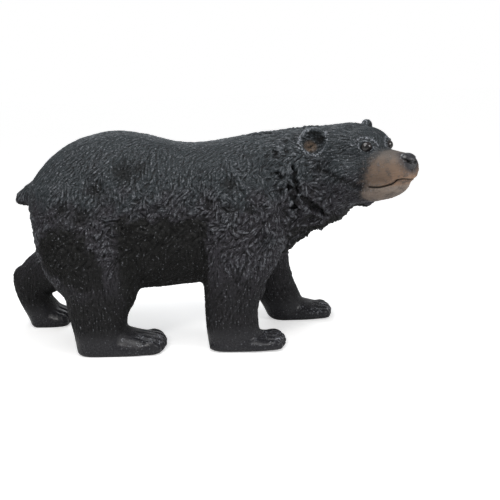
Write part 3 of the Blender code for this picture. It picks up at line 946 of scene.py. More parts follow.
def seeded(points, reach, dice, tries):
    # darts thrown on the skin: a root is kept where none stands within its reach
    cell = reach.max()
    grid = {}
    kept = []
    order = dice.permutation(len(points))[:tries]
    keys = np.floor(points / cell).astype(int)
    for index in order.tolist():
        x, y, z = points[index]
        i, j, k = keys[index].tolist()
        own = reach[index]
        clear = True
        for a in (i - 1, i, i + 1):
            for b in (j - 1, j, j + 1):
                for c in (k - 1, k, k + 1):
                    for px, py, pz, other in grid.get((a, b, c), ()):
                        if (px - x) ** 2 + (py - y) ** 2 + (pz - z) ** 2 < ((own + other) / 2) ** 2:
                            clear = False
                            break
                    if not clear:
                        break
                if not clear:
                    break
            if not clear:
                break
        if clear:
            grid.setdefault((i, j, k), []).append((x, y, z, own))
            kept.append(index)
    return np.array(kept)


def treeOf(points):
    tree = kdtree.KDTree(len(points))
    for i, p in enumerate(points.tolist()):
        tree.insert(p, i)
    tree.balance()
    return tree


def layLocks(points, normals, flow, sizes, dice):
    # shingled locks: the highest one at each point of the skin, its height, and the way its hairs run
    reach = coat["spacing"] * np.sqrt(sizes[:, 0] * sizes[:, 1])
    roots = seeded(points, reach, dice, coat["tries"])
    count = len(roots)
    print("locks:", count)
    normal = normals[roots]
    swing = dice.normal(0, coat["swing"], count)
    side = np.cross(normal, flow[roots])
    way = unit(flow[roots] * np.cos(swing)[:, None] + side * np.sin(swing)[:, None])
    across = np.cross(normal, way)
    length = sizes[roots, 0] * dice.uniform(*coat["lengths"], count)
    width = sizes[roots, 1] * dice.uniform(*coat["widths"], count)
    tall = sizes[roots, 2] * dice.uniform(*coat["heights"], count)
    tall *= 1 + coat["patchiness"] * np.clip(ripple(points[roots], coat["patchWave"], 8, 21), -1.6, 1.6)
    base = points[roots]
    tree = treeOf(base + way * (length * 0.5)[:, None])
    many = coat["neighbours"]
    rootWide, growth = coat["girth"]
    rootHigh, climb, steep = coat["rise"]
    near = np.zeros((len(points), many), np.int32)
    for i, p in enumerate(points.tolist()):
        near[i] = [hit[1] for hit in tree.find_n(p, many)]
    best = np.full(len(points), -1e9)
    owner = np.zeros(len(points), np.int32)
    hair = flow.copy()
    for k in range(many):
        i = near[:, k]
        off = points - base[i]
        s = (off * way[i]).sum(1)
        t = (off * across[i]).sum(1)
        bend = coat["bend"] * width[i] * np.sin(i * 1.7)
        u = s / length[i]
        t = t - bend * np.clip(u, 0, 1) ** 2 * 3
        taper = np.clip(1 - np.clip(u, 0, 1) ** coat["tip"], 0, 1)
        half = width[i] * (rootWide + growth * u) * taper
        cross = np.clip(1 - (t / np.maximum(half, 1e-3)) ** 2, 0, 1)
        rise = rootHigh + climb * np.clip(u, 0, 1) ** steep
        high = tall[i] * rise * np.sqrt(cross)
        high = np.where((u > 0.02) & (u < 1) & (cross > 0), high, 0.0)
        better = high > best
        best = np.where(better, high, best)
        owner = np.where(better, i, owner)
        slope = np.clip(t / np.maximum(half, 1e-3), -1, 1) * np.clip((u - 0.25) * 1.1, -0.2, 0.8)
        run = way[i] - across[i] * slope[:, None] * (width[i] / length[i] * 2.2)[:, None]
        inside = better & (high > 0)
        hair = np.where(inside[:, None], run, hair)
    hair -= normals * (hair * normals).sum(1)[:, None]
    off = points - base[owner]
    comb = np.stack([(off * way[owner]).sum(1), (off * across[owner]).sum(1), owner * 1.37 % 50], 1)
    return best, owner, unit(hair), comb, base[owner]


def strands(points, hair, edges, step, length, dice):
    # fine hairs: noise drawn out along the way of the hair
    tree = treeOf(points)
    ahead = np.array([tree.find(p)[1] for p in (points + hair * step).tolist()])
    noise = dice.normal(0, 1, len(points))
    total, here = noise.copy(), np.arange(len(points))
    for k in range(length):
        here = ahead[here]
        total += noise[here]
    total -= spread(total, edges, 14)
    return np.clip(total / total.std(), -2.2, 2.2)


def setValue(mesh, name, values):
    layer = mesh.attributes.get(name) or mesh.attributes.new(name, "FLOAT", "POINT")
    layer.data.foreach_set("value", values.astype(np.float32))


# Where each paint begins and ends: from nothing to full
masks = {
    "foot": (2.6, 6.8),
    "footBare": 0.85,
    # feet tops turned up: more pale flecks there, a painted highlight
    "footTopHighlight": (0.05, 0.7),
    "eyeBare": (1.1, 1.7),
    # coat high up and facing up: partly a cooler tone, partly a painted sheen from above
    "upperSheen": (26.0, 42.0),
    # painted shade under the belly, between the legs and on faces turned down
    "bellyRear": (-17.0, -14.5),
    "bellyFront": (1.8, 3.2),
    "bellyTop": (28.6, 30.0),
    "bellyUnder": (-0.75, -0.35),
    # on the left the legs stand elsewhere, so the painted shade of the belly is longer there, and fainter
    "leftFrom": 2.0,
    "leftRear": (-27.0, -17.0),
    "leftFront": (4.0, 9.0),
    "leftShare": 0.8,
    # painted shade low on the legs
    "foreLegShade": 0.58,
    "hindLegShade": 0.82,
    "legTop": (11.0, 20.0),
    "tanSlant": 0.47,
    "tanFrom": 11.5,
    "tan": (-2.8, 2.4),
    "bridge": (-1.2, 1.6),
    "jaw": (-5.6, -4.8),
    "noseDark": (1.7, 3.0),
    "earRim": (3.1, 0.4, 0.55),
    "earBrown": (0.9, 1.7),
    # painted shade deep in the ear cups
    "earShade": (0.5, 1.4),
}


def layCoat(mesh, mouth):
    dice = np.random.default_rng(coat["seed"])
    points, normals, edges = pointsOf(mesh), normalsOf(mesh), edgesOf(mesh)
    soft = unit(np.stack([spread(normals[:, i], edges, 8) for i in range(3)], 1))
    local = inHead(points)
    flow, sizes = combed(points, soft)
    foot = 1 - ease(*masks["foot"], points[:, 2])
    eyes = np.minimum(*[np.linalg.norm(local - np.array((x, y, z)), axis=1)
                        for x, y, z, side in bothSides(head["eye"][0])])
    bare = np.maximum(foot * masks["footBare"], 1 - ease(*masks["eyeBare"], eyes))
    bare = np.maximum(bare, mouth)
    high, owner, hair, comb, roots = layLocks(points, soft, flow, sizes, dice)
    print("locks laid")
    step = figure["voxel"] * coat["strandStep"]
    fine = strands(points, hair, edges, step, coat["strandSteps"], dice)
    print("strands drawn")
    rough = ease(0.08, 0.22, sizes[:, 2])
    wave, lumpHigh = coat["lumps"]
    lump = ripple(points, wave, 12, 11)
    lump = np.clip(np.abs(lump) - 0.7, -0.7, 0.9)
    wave, smallHigh = coat["smallLumps"]
    small = ripple(points, wave, 14, 12)
    relief = (high - coat["sunk"] * sizes[:, 2]) + fine * sizes[:, 3]
    relief = relief + rough * (lumpHigh * lump + smallHigh * small)
    points = points + soft * (relief * (1 - bare))[:, None]
    setPoints(mesh, points)
    # how far the skin stands above its surroundings: low in hollows for painted shade, high on ridges for
    # the dry-brush
    wide = np.stack([spread(points[:, i], edges, coat["cavityRounds"]) for i in range(3)], 1)
    cavity = ((points - wide) * soft).sum(1)
    cavity = np.clip(cavity / (cavity[bare < 0.1].std() * 1.5), -1.6, 1.6)
    setValue(mesh, "cavity", cavity)
    crest = high / np.maximum(sizes[:, 2], 1e-3) + 0.35 * rough * lump
    setValue(mesh, "crest", crest * (1 - bare))
    setValue(mesh, "hairs", fine * (1 - bare))
    layer = mesh.attributes.new("comb", "FLOAT_VECTOR", "POINT")
    layer.data.foreach_set("vector", comb.astype(np.float32).ravel())
    setValue(mesh, "tint", np.modf(owner * 0.61803)[0])
    return points, local, soft, foot, roots


def paintMasks(mesh, points, local, normals, foot, roots, mouth, shade, rub):
    up = normals[:, 2]
    swell = ripple(points, 2.5, 10, 3)
    setValue(mesh, "foot", foot)
    # feet tops turned up: more pale flecks there, a painted highlight
    setValue(mesh, "footTopHighlight", foot * ease(*masks["footTopHighlight"], up))
    # coat high up and facing up: partly a cooler tone, partly a painted sheen from above
    setValue(mesh, "upperSheen", ease(*masks["upperSheen"], points[:, 2] + 5 * up + swell))
    # painted shade under the body: the belly between the legs is dark up to a ragged edge of tufts, so are
    # faces turned down, and the legs towards the ground, less so
    tuft = 0.7 * roots + 0.3 * points
    between = ease(*masks["bellyRear"], tuft[:, 0]) * (1 - ease(*masks["bellyFront"], tuft[:, 0]))
    leftSide = ease(*masks["leftRear"], tuft[:, 0]) * (1 - ease(*masks["leftFront"], tuft[:, 0]))
    between = np.where(tuft[:, 1] > masks["leftFrom"], leftSide * masks["leftShare"], between)
    bellyShade = between * (1 - ease(*masks["bellyTop"], tuft[:, 2] + 0.5 * swell))
    bellyShade = np.maximum(bellyShade, 1 - ease(*masks["bellyUnder"], up))
    legs = np.where(points[:, 0] > 0, masks["foreLegShade"], masks["hindLegShade"])
    legs = legs * (1 - ease(*masks["legTop"], tuft[:, 2] + swell))
    under = np.maximum(bellyShade, legs)
    # painted shade on the thighs
    for (x, y, z), reach, strength in folds["thighShade"]:
        for side in (-1, 1):
            far = np.linalg.norm(tuft - np.array((x, y * side, z)), axis=1) + 0.5 * swell
            under = np.maximum(under, strength * (1 - ease(0.7 * reach, reach, far)))
    setValue(mesh, "under", under * (local[:, 0] < 0))
    front = local[:, 0] - masks["tanSlant"] * local[:, 2] - masks["tanFrom"]
    onHead = (np.abs(local[:, 1]) < 7) & (local[:, 2] > -9.5) & (local[:, 2] < 4)
    ragged = 0.3 * swell + 0.2 * ripple(points, 0.9, 10, 4)
    setValue(mesh, "tan", ease(*masks["tan"], front + ragged) * onHead)
    setValue(mesh, "bridge", ease(*masks["bridge"], local[:, 2]))
    setValue(mesh, "jaw", 1 - ease(*masks["jaw"], local[:, 2]))
    setValue(mesh, "lip", mouth)
    nose = (local - np.array(head["nose"][0])) * np.array((0.7, 1.0, 1.0))
    setValue(mesh, "halo", 1 - ease(*masks["noseDark"], np.linalg.norm(nose, axis=1)))
    ear = np.zeros(len(points))
    rimAt, rimWide, rimBright = masks["earRim"]
    for (x, y, z), side in head["ears"]:
        far = np.linalg.norm(local - np.array((x, y, z)), axis=1)
        rub = np.maximum(rub, rimBright * np.exp(-(((far - rimAt) / rimWide) ** 2)))
    for x, y, z, side in bothSides(head["earBrown"]):
        far = np.linalg.norm(local - np.array((x, y, z)), axis=1)
        ear = np.maximum(ear, 1 - ease(*masks["earBrown"], far))
    # painted shade deep in the ear cups
    for x, y, z, side in bothSides(head["earShade"]):
        far = np.linalg.norm(local - np.array((x, y, z)), axis=1)
        shade = np.maximum(shade, 1 - ease(*masks["earShade"], far))
    setValue(mesh, "ear", ear)
    setValue(mesh, "shade", shade)
    setValue(mesh, "rub", rub)


def flatSoles(bm):
    everything = bm.verts[:] + bm.edges[:] + bm.faces[:]
    cut = bmesh.ops.bisect_plane(
        bm, geom=everything, dist=1e-5, plane_co=(0, 0, 0), plane_no=(0, 0, -1), clear_outer=True
    )
    rim = [e for e in cut["geom_cut"] if isinstance(e, bmesh.types.BMEdge)]
    filled = bmesh.ops.holes_fill(bm, edges=rim)
    for face in filled["faces"]:
        face.smooth = False
    bmesh.ops.triangulate(bm, faces=filled["faces"])


def fitToCad(points):
    # the box of the dressed figure is the CAD figure's box
    low, high = points.min(0), points.max(0)
    cadLow, cadHigh = (np.array(corner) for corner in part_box("bear"))
    scale = (cadHigh - cadLow) / (high - low)
    return scale, cadLow - low * scale


def part(bm, planes):
    for place, normal in planes:
        everything = bm.verts[:] + bm.edges[:] + bm.faces[:]
        cut = bmesh.ops.bisect_plane(
            bm, geom=everything, dist=1e-7, plane_co=place, plane_no=normal, clear_outer=True
        )
        rim = [e for e in cut["geom_cut"] if isinstance(e, bmesh.types.BMEdge)]
        filled = bmesh.ops.holes_fill(bm, edges=rim)
        for face in filled["faces"]:
            face.smooth = False
            for e in face.edges:
                e.smooth = False
        bmesh.ops.triangulate(bm, faces=filled["faces"])


def buildBear():
    figure["voxel"] = figure["fineVoxel"]
    bear = objectFrom("wholeBear", bodyForms())
    fused(bear, figure["bodyVoxel"], figure["bodyRounding"])
    bear = addForms(bear, headAndPaws())
    fused(bear, figure["headVoxel"], figure["headRounding"], 1)
    earCups(bear.data)
    eyeSockets(bear.data)
    print("forms fused")
    bm = bmesh.new()
    bm.from_mesh(bear.data)
    tree = BVHTree.FromBMesh(bm)
    bm.free()
    bear = addForms(bear, bigLocks(tree))
    fused(bear, figure["voxel"], figure["fineRounding"])
    print("fine skin:", len(bear.data.vertices))
    finerFace(bear.data)
    mouth, shade, rub, lipward = carveFace(bear.data)
    points, local, normals, foot, roots = layCoat(bear.data, mouth)
    setValue(bear.data, "lipward", lipward)
    paintMasks(bear.data, points, local, normals, foot, roots, mouth, shade, rub)
    print("coat laid:", len(bear.data.vertices))
    return bear


def mathNode(tree, operation, *values):
    node = tree.nodes.new("ShaderNodeMath")
    node.operation = operation
    for i, value in enumerate(values):
        if isinstance(value, (int, float)):
            node.inputs[i].default_value = value
        else:
            tree.links.new(value, node.inputs[i])
    return node.outputs[0]


def mixNode(tree, factor, a, b):
    node = tree.nodes.new("ShaderNodeMix")
    node.data_type = "RGBA"
    for socket, value in ((node.inputs[0], factor), (node.inputs[6], a), (node.inputs[7], b)):
        if isinstance(value, (int, float, tuple)):
            socket.default_value = value
        else:
            tree.links.new(value, socket)
    return node.outputs[2]


def rampNode(tree, value, low, high):
    node = tree.nodes.new("ShaderNodeMapRange")
    node.interpolation_type = "SMOOTHSTEP"
    node.inputs["From Min"].default_value = low
    node.inputs["From Max"].default_value = high
    tree.links.new(value, node.inputs["Value"])
    return node.outputs["Result"]


def valueOf(tree, name):
    node = tree.nodes.new("ShaderNodeAttribute")
    node.attribute_name = name
    return node.outputs["Fac"]


def noiseNode(tree, scale, detail=3.0):
    node = tree.nodes.new("ShaderNodeGroup")
    node.node_tree = bpy.data.node_groups["speckles"]
    node.inputs["Scale"].default_value = scale
    node.inputs["Detail"].default_value = detail
    return node.outputs["Mask"]


# Colours of the paint, the sizes of its patches and how strongly each layer shows
paint = {
    # coat high up and facing up: a cooler tone with a painted sheen from above
    "upperSheen": (0.026, 0.0325, 0.037, 1.0),
    "flank": (0.028, 0.0262, 0.032, 1.0),
    # painted shade under the belly, between and low on the legs
    "under": (0.0045, 0.0047, 0.0042, 1.0),
    # painted shade in crevices, hollows and nostrils
    "creviceShade": (0.0018, 0.0018, 0.0018, 1.0),
    "fleck": (0.15, 0.16, 0.175, 1.0),
    "tan": (0.19, 0.135, 0.10, 1.0),
    "orange": (0.29, 0.19, 0.13, 1.0),
    "chin": (0.33, 0.27, 0.225, 1.0),
    "halo": (0.03, 0.03, 0.035, 1.0),
    "brushed": (0.34, 0.36, 0.40, 1.0),
    "bridge": (0.103, 0.09, 0.08, 1.0),
    "jaw": (0.225, 0.18, 0.148, 1.0),
    "mottle": (0.10, 0.085, 0.075, 1.0),
    "foot": (0.021, 0.021, 0.024, 1.0),
    # pale flecks on the feet: worn paint, and a painted highlight on their tops
    "footRubAndHighlight": (0.26, 0.27, 0.30, 1.0),
    "lip": (0.006, 0.004, 0.003, 1.0),
    "ear": (0.12, 0.085, 0.06, 1.0),
    "noseBlack": (0.01, 0.01, 0.013, 1.0),
    "nosePale": (0.03, 0.031, 0.037, 1.0),
    "eyeBlack": (0.008, 0.007, 0.007, 1.0),
    "eyePale": (0.014, 0.012, 0.012, 1.0),
    "noseRough": 0.27,
    "eyeRough": 0.08,
    "coatWeight": 0.25,
    "coatRough": 0.25,
    "specular": 0.25,
    "fineWidth": 2.8,
    "fineLength": 0.8,
    "patchScale": 16.0,
    "toneScale": 24.0,
    "blotchScale": 60.0,
    "glossScale": 160.0,
    "gritScale": 280.0,
    # from nothing to full of each layer, and its greatest share
    # painted shade between the hairs and in hollows
    "hollow": (0.1, -1.1),
    "hollowShare": 0.85,
    "shadeShare": 0.85,
    "dry": (0.25, 1.6),
    "dryShare": 0.6,
    "footRubAndHighlightRamp": (0.36, 0.75),
    "mottled": (0.45, 0.8),
    "haloShare": 0.85,
    "tanEdge": (0.05, 0.95),
    "earStreak": (0.6, -1.4),
    "earShare": 0.9,
    "brushing": (0.3, 1.0),
    "brushingShare": 0.75,
    "bumpStrength": 0.7,
    "bumpDistance": 0.001,
}


def speckles():  # soft random spots in the space of the object, for every paint
    group = bpy.data.node_groups.new("speckles", "ShaderNodeTree")
    group.interface.new_socket("Scale", in_out="INPUT", socket_type="NodeSocketFloat")
    group.interface.new_socket("Detail", in_out="INPUT", socket_type="NodeSocketFloat")
    group.interface.new_socket("Mask", in_out="OUTPUT", socket_type="NodeSocketFloat")
    start, end = group.nodes.new("NodeGroupInput"), group.nodes.new("NodeGroupOutput")
    place = group.nodes.new("ShaderNodeTexCoord")
    noise = group.nodes.new("ShaderNodeTexNoise")
    group.links.new(place.outputs["Object"], noise.inputs["Vector"])
    group.links.new(start.outputs["Scale"], noise.inputs["Scale"])
    group.links.new(start.outputs["Detail"], noise.inputs["Detail"])
    group.links.new(noise.outputs["Fac"], end.inputs["Mask"])
    return group


def fineHairs(tree):  # hairs finer than the mesh, combed along each lock
    comb = tree.nodes.new("ShaderNodeAttribute")
    comb.attribute_name = "comb"
    stretch = tree.nodes.new("ShaderNodeMapping")
    stretch.inputs["Scale"].default_value = (paint["fineLength"], paint["fineWidth"], 1.0)
    tree.links.new(comb.outputs["Vector"], stretch.inputs["Vector"])
    node = tree.nodes.new("ShaderNodeTexNoise")
    node.inputs["Scale"].default_value = 1.0
    node.inputs["Detail"].default_value = 2.0
    tree.links.new(stretch.outputs["Vector"], node.inputs["Vector"])
    return rampNode(tree, node.outputs["Fac"], 0.3, 0.7)


def weighted(tree, *pairs):  # the sum of values, each less its middle and times its weight
    total = 0.0
    for value, middle, weight in pairs:
        term = mathNode(tree, "MULTIPLY", mathNode(tree, "SUBTRACT", value, middle), weight)
        total = mathNode(tree, "ADD", total, term)
    return total


def upTo(tree, value, most):  # a mask at no more than the given strength
    return mathNode(tree, "MULTIPLY", value, most)


def bearPaint():
    material = bpy.data.materials.new("bearPaint")
    material.use_nodes = True
    tree = material.node_tree
    shader = tree.nodes["Principled BSDF"]
    crest, hairs, tint = valueOf(tree, "crest"), valueOf(tree, "hairs"), valueOf(tree, "tint")
    under, foot, cavity = valueOf(tree, "under"), valueOf(tree, "foot"), valueOf(tree, "cavity")
    shade, lipward = valueOf(tree, "shade"), valueOf(tree, "lipward")
    patch = noiseNode(tree, paint["patchScale"])
    blotch = noiseNode(tree, paint["blotchScale"])
    grit = noiseNode(tree, paint["gritScale"], 2.0)
    fine = fineHairs(tree)
    # black coat, cooler and a little paler high up and where it faces up, partly its tone and partly a
    # painted sheen from above; painted shade below and in its hollows
    swirl = noiseNode(tree, paint["toneScale"])
    toneAndSheen = weighted(tree, (valueOf(tree, "upperSheen"), 0.0, 1.0), (swirl, 0.5, 2.0))
    colour = mixNode(tree, rampNode(tree, toneAndSheen, 0.0, 1.0), paint["flank"], paint["upperSheen"])
    colour = mixNode(tree, under, colour, paint["under"])
    stroke = weighted(tree, (hairs, 0.0, 0.5), (fine, 0.5, 1.2), (cavity, 0.0, 0.5), (tint, 0.5, 0.4))
    stroke = weighted(tree, (stroke, 0.0, 1.0), (crest, 0.5, 0.25))
    # painted shade between the hairs and in the hollows, where strands, cavity and each lock's tone run low
    hollow = rampNode(tree, stroke, *paint["hollow"])
    colour = mixNode(tree, upTo(tree, hollow, paint["hollowShare"]), colour, paint["creviceShade"])
    # painted shade of the creases, hollows, grooves, eye folds and ear cups
    colour = mixNode(tree, upTo(tree, shade, paint["shadeShare"]), colour, paint["creviceShade"])
    # dry grey brushed over the raised hairs
    dry = weighted(tree, (stroke, 0.0, 1.0), (patch, 0.5, 2.0), (grit, 0.5, 2.3), (under, 0.0, -2.2))
    dry = rampNode(tree, dry, *paint["dry"])
    dry = mathNode(tree, "MULTIPLY", dry, mathNode(tree, "SUBTRACT", 1.0, shade))
    colour = mixNode(tree, upTo(tree, dry, paint["dryShare"]), colour, paint["fleck"])
    # smooth feet with pale rubbed flecks, more of them on the tops: worn paint, and a painted highlight
    # where they face up
    rubAndHighlight = weighted(tree, (blotch, 0.5, 1.0), (grit, 0.5, 1.2), (valueOf(tree, "footTopHighlight"), 0.0, 0.3))
    feet = mixNode(tree, rampNode(tree, rubAndHighlight, *paint["footRubAndHighlightRamp"]), paint["foot"], paint["footRubAndHighlight"])
    colour = mixNode(tree, foot, colour, feet)
    # tan muzzle, orange along the lips, dark round the nose
    muzzle = mixNode(tree, valueOf(tree, "bridge"), paint["tan"], paint["bridge"])
    muzzle = mixNode(tree, lipward, muzzle, paint["orange"])
    jaw = mixNode(tree, lipward, paint["jaw"], paint["chin"])
    muzzle = mixNode(tree, valueOf(tree, "jaw"), muzzle, jaw)
    mottled = weighted(tree, (blotch, 0.0, 1.0), (grit, 0.5, 0.7), (hairs, 0.0, 0.1))
    muzzle = mixNode(tree, rampNode(tree, mottled, *paint["mottled"]), muzzle, paint["mottle"])
    muzzle = mixNode(tree, upTo(tree, valueOf(tree, "halo"), paint["haloShare"]), muzzle, paint["halo"])
    edge = weighted(tree, (valueOf(tree, "tan"), 0.0, 1.0), (grit, 0.5, 0.8), (hairs, 0.0, 0.05))
    colour = mixNode(tree, rampNode(tree, edge, *paint["tanEdge"]), colour, muzzle)
    # brown inside the ears streaked with painted shade between the hairs, pale brushing on their rims and
    # round the eyes, black between the lips
    inner = mixNode(tree, rampNode(tree, hairs, *paint["earStreak"]), paint["ear"], paint["under"])
    colour = mixNode(tree, upTo(tree, valueOf(tree, "ear"), paint["earShare"]), colour, inner)
    brushed = weighted(tree, (valueOf(tree, "rub"), 0.0, 1.0), (grit, 0.5, 2.5), (hairs, 0.0, 0.15))
    brushed = rampNode(tree, brushed, *paint["brushing"])
    colour = mixNode(tree, upTo(tree, brushed, paint["brushingShare"]), colour, paint["brushed"])
    colour = mixNode(tree, valueOf(tree, "lip"), colour, paint["lip"])
    tree.links.new(colour, shader.inputs["Base Color"])
    # satin: roughness near 0.55 on the coat and half that on the feet
    rough = weighted(tree, (grit, -1.7, 0.25), (foot, 0.0, -0.27))
    tree.links.new(rough, shader.inputs["Roughness"])
    shader.inputs["Specular IOR Level"].default_value = paint["specular"]
    bump = tree.nodes.new("ShaderNodeBump")
    bump.inputs["Strength"].default_value = paint["bumpStrength"]
    bump.inputs["Distance"].default_value = paint["bumpDistance"]
    covered = mathNode(tree, "SUBTRACT", 1.0, mathNode(tree, "MAXIMUM", foot, valueOf(tree, "tan")))
    height = weighted(tree, (grit, 0.0, 0.35), (mathNode(tree, "MULTIPLY", fine, covered), 0.0, 1.0))
    tree.links.new(height, bump.inputs["Height"])
    tree.links.new(bump.outputs["Normal"], shader.inputs["Normal"])
    return material


def gloss(name, colour, pale, rough):
    material = bpy.data.materials.new(name)
    material.use_nodes = True
    tree = material.node_tree
    shader = tree.nodes["Principled BSDF"]
    patch = noiseNode(tree, paint["glossScale"])
    shade = mixNode(tree, rampNode(tree, patch, 0.35, 0.7), colour, pale)
    # painted shade in the nostrils
    shade = mixNode(tree, valueOf(tree, "nostril"), shade, paint["creviceShade"])
    tree.links.new(shade, shader.inputs["Base Color"])
    # a little rougher in the pale patches
    tree.links.new(weighted(tree, (patch, -rough / 0.15, 0.15)), shader.inputs["Roughness"])
    shader.inputs["Coat Weight"].default_value = paint["coatWeight"]
    shader.inputs["Coat Roughness"].default_value = paint["coatRough"]
    return material


def finish(obj, material):
    obj.data.materials.clear()
    obj.data.materials.append(material)
    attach(obj, "root")
    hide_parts("bear")


# The nose pad starts as a ball, in the frame of the head
nosePad = {
    "sides": 96,
    "boxy": 2.3,
    "narrowBelow": 0.42,
    "leanBack": 0.25,
    "nostrilHalf": (0.5, 0.32),
    "nostrilLean": (0.3, 0.5),
    "nostrilDepth": 0.8,
    # how strong the painted shade in the nostrils is
    "nostrilShade": 1.6,
    "wing": (1.6, 0.4, 0.10),  # ring round the nostril, width, height
    "split": (0.14, 0.12, 0.3),  # half width, depth, how far above the middle
}


def buildNose():
    bm = bmesh.new()
    centre, half = head["nose"]
    ball(bm, centre, half, place=headPlace, sides=nosePad["sides"])
    back = headPlace.inverted()
    boxy = nosePad["boxy"]
    nostrilY, nostrilZ = head["nostril"]
    nostrilWide, nostrilHigh = nosePad["nostrilHalf"]
    leanY, leanZ = nosePad["nostrilLean"]
    wingAt, wingWide, wingHigh = nosePad["wing"]
    splitWide, splitDeep, splitTop = nosePad["split"]
    hole = bm.verts.layers.float.new("nostril")
    for v in bm.verts:
        p = back @ v.co
        off = Vector([(p[i] - centre[i]) / half[i] for i in range(3)])
        big = sum(abs(c) ** boxy for c in off) ** (1 / boxy)
        p = Vector(centre) + (p - Vector(centre)) / max(big, 0.01)
        low = min(0.0, p.z - centre[2]) / half[2]
        p.y *= 1 - nosePad["narrowBelow"] * low * low
        p.x -= nosePad["leanBack"] * max(0.0, (p.z - centre[2]) / half[2]) ** 2
        front = 1 if p.x > centre[0] else 0
        y, z = abs(p.y) - nostrilY, p.z - nostrilZ
        far = ((y - leanY * z) / nostrilWide) ** 2 + ((z - leanZ * y) / nostrilHigh) ** 2
        # the nostril mask: painted shade in the hole
        v[hole] = front * min(1.0, nosePad["nostrilShade"] * math.exp(-far))
        p.x -= front * nosePad["nostrilDepth"] * math.exp(-far)
        p.x += front * wingHigh * math.exp(-((math.sqrt(far) - wingAt) / wingWide) ** 2)
        p.x -= splitDeep * math.exp(-(p.y / splitWide) ** 2) * (1 if p.z < centre[2] + splitTop else 0)
        v.co = headPlace @ p
    return objectFrom("nose", bm)


def buildEyes():
    out = []
    for x, y, z, side in bothSides(head["eye"][0]):
        bm = bmesh.new()
        ball(bm, (x, y, z), head["eye"][1], place=headPlace, sides=48)
        out.append(objectFrom("eyeLeft" if side > 0 else "eyeRight", bm))
    return out


# The pieces and the planes that part them, each a place and the way towards what is cut away
headCut = headPlace @ Vector((-3.0, 0, 0))
headWay = headPlace.to_3x3() @ Vector((1, 0, 0))
pieces = {
    "head": [(headCut, -headWay)],
    "neckAndChest": [(headCut, headWay), ((14.5, 0, 0), (-1, 0, 0))],
    "forequarters": [((14.5, 0, 0), (1, 0, 0)), ((1.5, 0, 0), (-1, 0, 0))],
    "barrel": [((1.5, 0, 0), (1, 0, 0)), ((-15.0, 0, 0), (-1, 0, 0))],
    "rump": [((-15.0, 0, 0), (1, 0, 0)), ((0, 0, 21.0), (0, 0, -1))],
    "hindLegs": [((-15.0, 0, 0), (1, 0, 0)), ((0, 0, 21.0), (0, 0, 1))],
}


def buildPieces():
    bear = buildBear()
    bm = bmesh.new()
    bm.from_mesh(bear.data)
    flatSoles(bm)
    mesh = bear.data
    bm.to_mesh(mesh)
    bm.free()
    mesh.polygons.foreach_set("use_smooth", np.ones(len(mesh.polygons), bool))
    scale, shift = fitToCad(pointsOf(mesh))
    print("fit:", scale.round(5), shift.round(5))
    toMetres = Matrix.Translation(shift) @ Matrix.Diagonal((*scale, 1))
    speckles()
    fur = bearPaint()
    for name, planes in pieces.items():
        bm = bmesh.new()
        bm.from_mesh(mesh)
        part(bm, planes)
        bm.transform(toMetres)
        piece = objectFrom(name, bm)
        finish(piece, fur)
        piece.data.calc_loop_triangles()
        print(name, len(piece.data.loop_triangles))
    bpy.data.objects.remove(bear)
    wet = gloss("noseBlack", paint["noseBlack"], paint["nosePale"], paint["noseRough"])
    shine = gloss("eyeBlack", paint["eyeBlack"], paint["eyePale"], paint["eyeRough"])
    for obj, material in [(buildNose(), wet)] + [(eye, shine) for eye in buildEyes()]:
        obj.data.transform(toMetres)
        obj.data.shade_smooth()
        finish(obj, material)


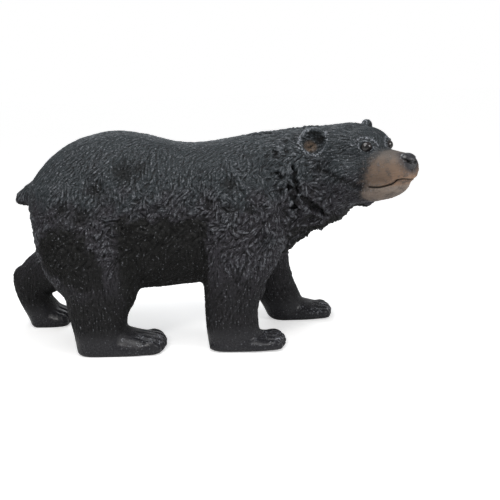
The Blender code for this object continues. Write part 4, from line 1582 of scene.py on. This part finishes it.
def buildStudio():
    bm = bmesh.new()
    bmesh.ops.create_grid(bm, x_segments=1, y_segments=1, size=40.0)
    floor = objectFrom("floor", bm)
    material = bpy.data.materials.new("floorPale")
    material.use_nodes = True
    shader = material.node_tree.nodes["Principled BSDF"]
    shader.inputs["Base Color"].default_value = studio["floor"]
    shader.inputs["Roughness"].default_value = 0.9
    shader.inputs["Emission Color"].default_value = (1.0, 1.0, 1.0, 1.0)
    tree = material.node_tree
    place = tree.nodes.new("ShaderNodeTexCoord")
    reach = tree.nodes.new("ShaderNodeVectorMath")
    reach.operation = "LENGTH"
    tree.links.new(place.outputs["Object"], reach.inputs[0])
    far = tree.nodes.new("ShaderNodeMapRange")
    far.interpolation_type = "SMOOTHSTEP"
    low, high = studio["floorFade"]
    far.inputs["From Min"].default_value = low
    far.inputs["From Max"].default_value = high
    far.inputs["To Min"].default_value = studio["floorGlow"]
    far.inputs["To Max"].default_value = studio["farGlow"]
    tree.links.new(reach.outputs["Value"], far.inputs["Value"])
    sight = tree.nodes.new("ShaderNodeLightPath")
    tree.links.new(
        mathNode(tree, "MULTIPLY", far.outputs["Result"], sight.outputs["Is Camera Ray"]),
        shader.inputs["Emission Strength"],
    )
    floor.data.materials.append(material)
    world = bpy.data.worlds.new("studio")
    world.use_nodes = True
    tree = world.node_tree
    background = tree.nodes["Background"]
    background.inputs["Color"].default_value = studio["world"]
    sight = tree.nodes.new("ShaderNodeLightPath")
    power = tree.nodes.new("ShaderNodeMapRange")
    power.inputs["To Min"].default_value = studio["worldPower"]
    power.inputs["To Max"].default_value = studio["backdrop"]
    tree.links.new(sight.outputs["Is Camera Ray"], power.inputs["Value"])
    tree.links.new(power.outputs["Result"], background.inputs["Strength"])
    bpy.context.scene.world = world
    bpy.context.scene.view_settings.view_transform = "Standard"
    for name, place, aim, size, power, colour in studio["lights"]:
        light = bpy.data.lights.new(name, "AREA")
        light.shape = "DISK"
        light.size = size
        light.energy = power
        light.color = colour
        lamp = bpy.data.objects.new(name, light)
        lamp.location = place
        lamp.rotation_euler = (Vector(aim) - Vector(place)).to_track_quat("-Z", "Y").to_euler()
        bpy.context.scene.collection.objects.link(lamp)


def buildCamera():
    place, aim = Vector(photoView["place"]), Vector(photoView["aim"])
    ahead = (aim - place).normalized()
    right = ahead.cross(Vector((0, 0, 1))).normalized()
    up = right.cross(ahead)
    roll = math.radians(photoView["roll"])
    right, up = right * math.cos(roll) + up * math.sin(roll), up * math.cos(roll) - right * math.sin(roll)
    camera = bpy.data.objects.new("camera", bpy.data.cameras.new("camera"))
    camera.data.lens = photoView["lens"]
    camera.data.sensor_width = 36.0
    turn = Matrix((right, up, -ahead)).transposed()
    camera.matrix_world = Matrix.Translation(place) @ turn.to_4x4()
    bpy.context.scene.collection.objects.link(camera)
    bpy.context.scene.camera = camera


buildCamera()
buildStudio()
buildPieces()
print("bear built")
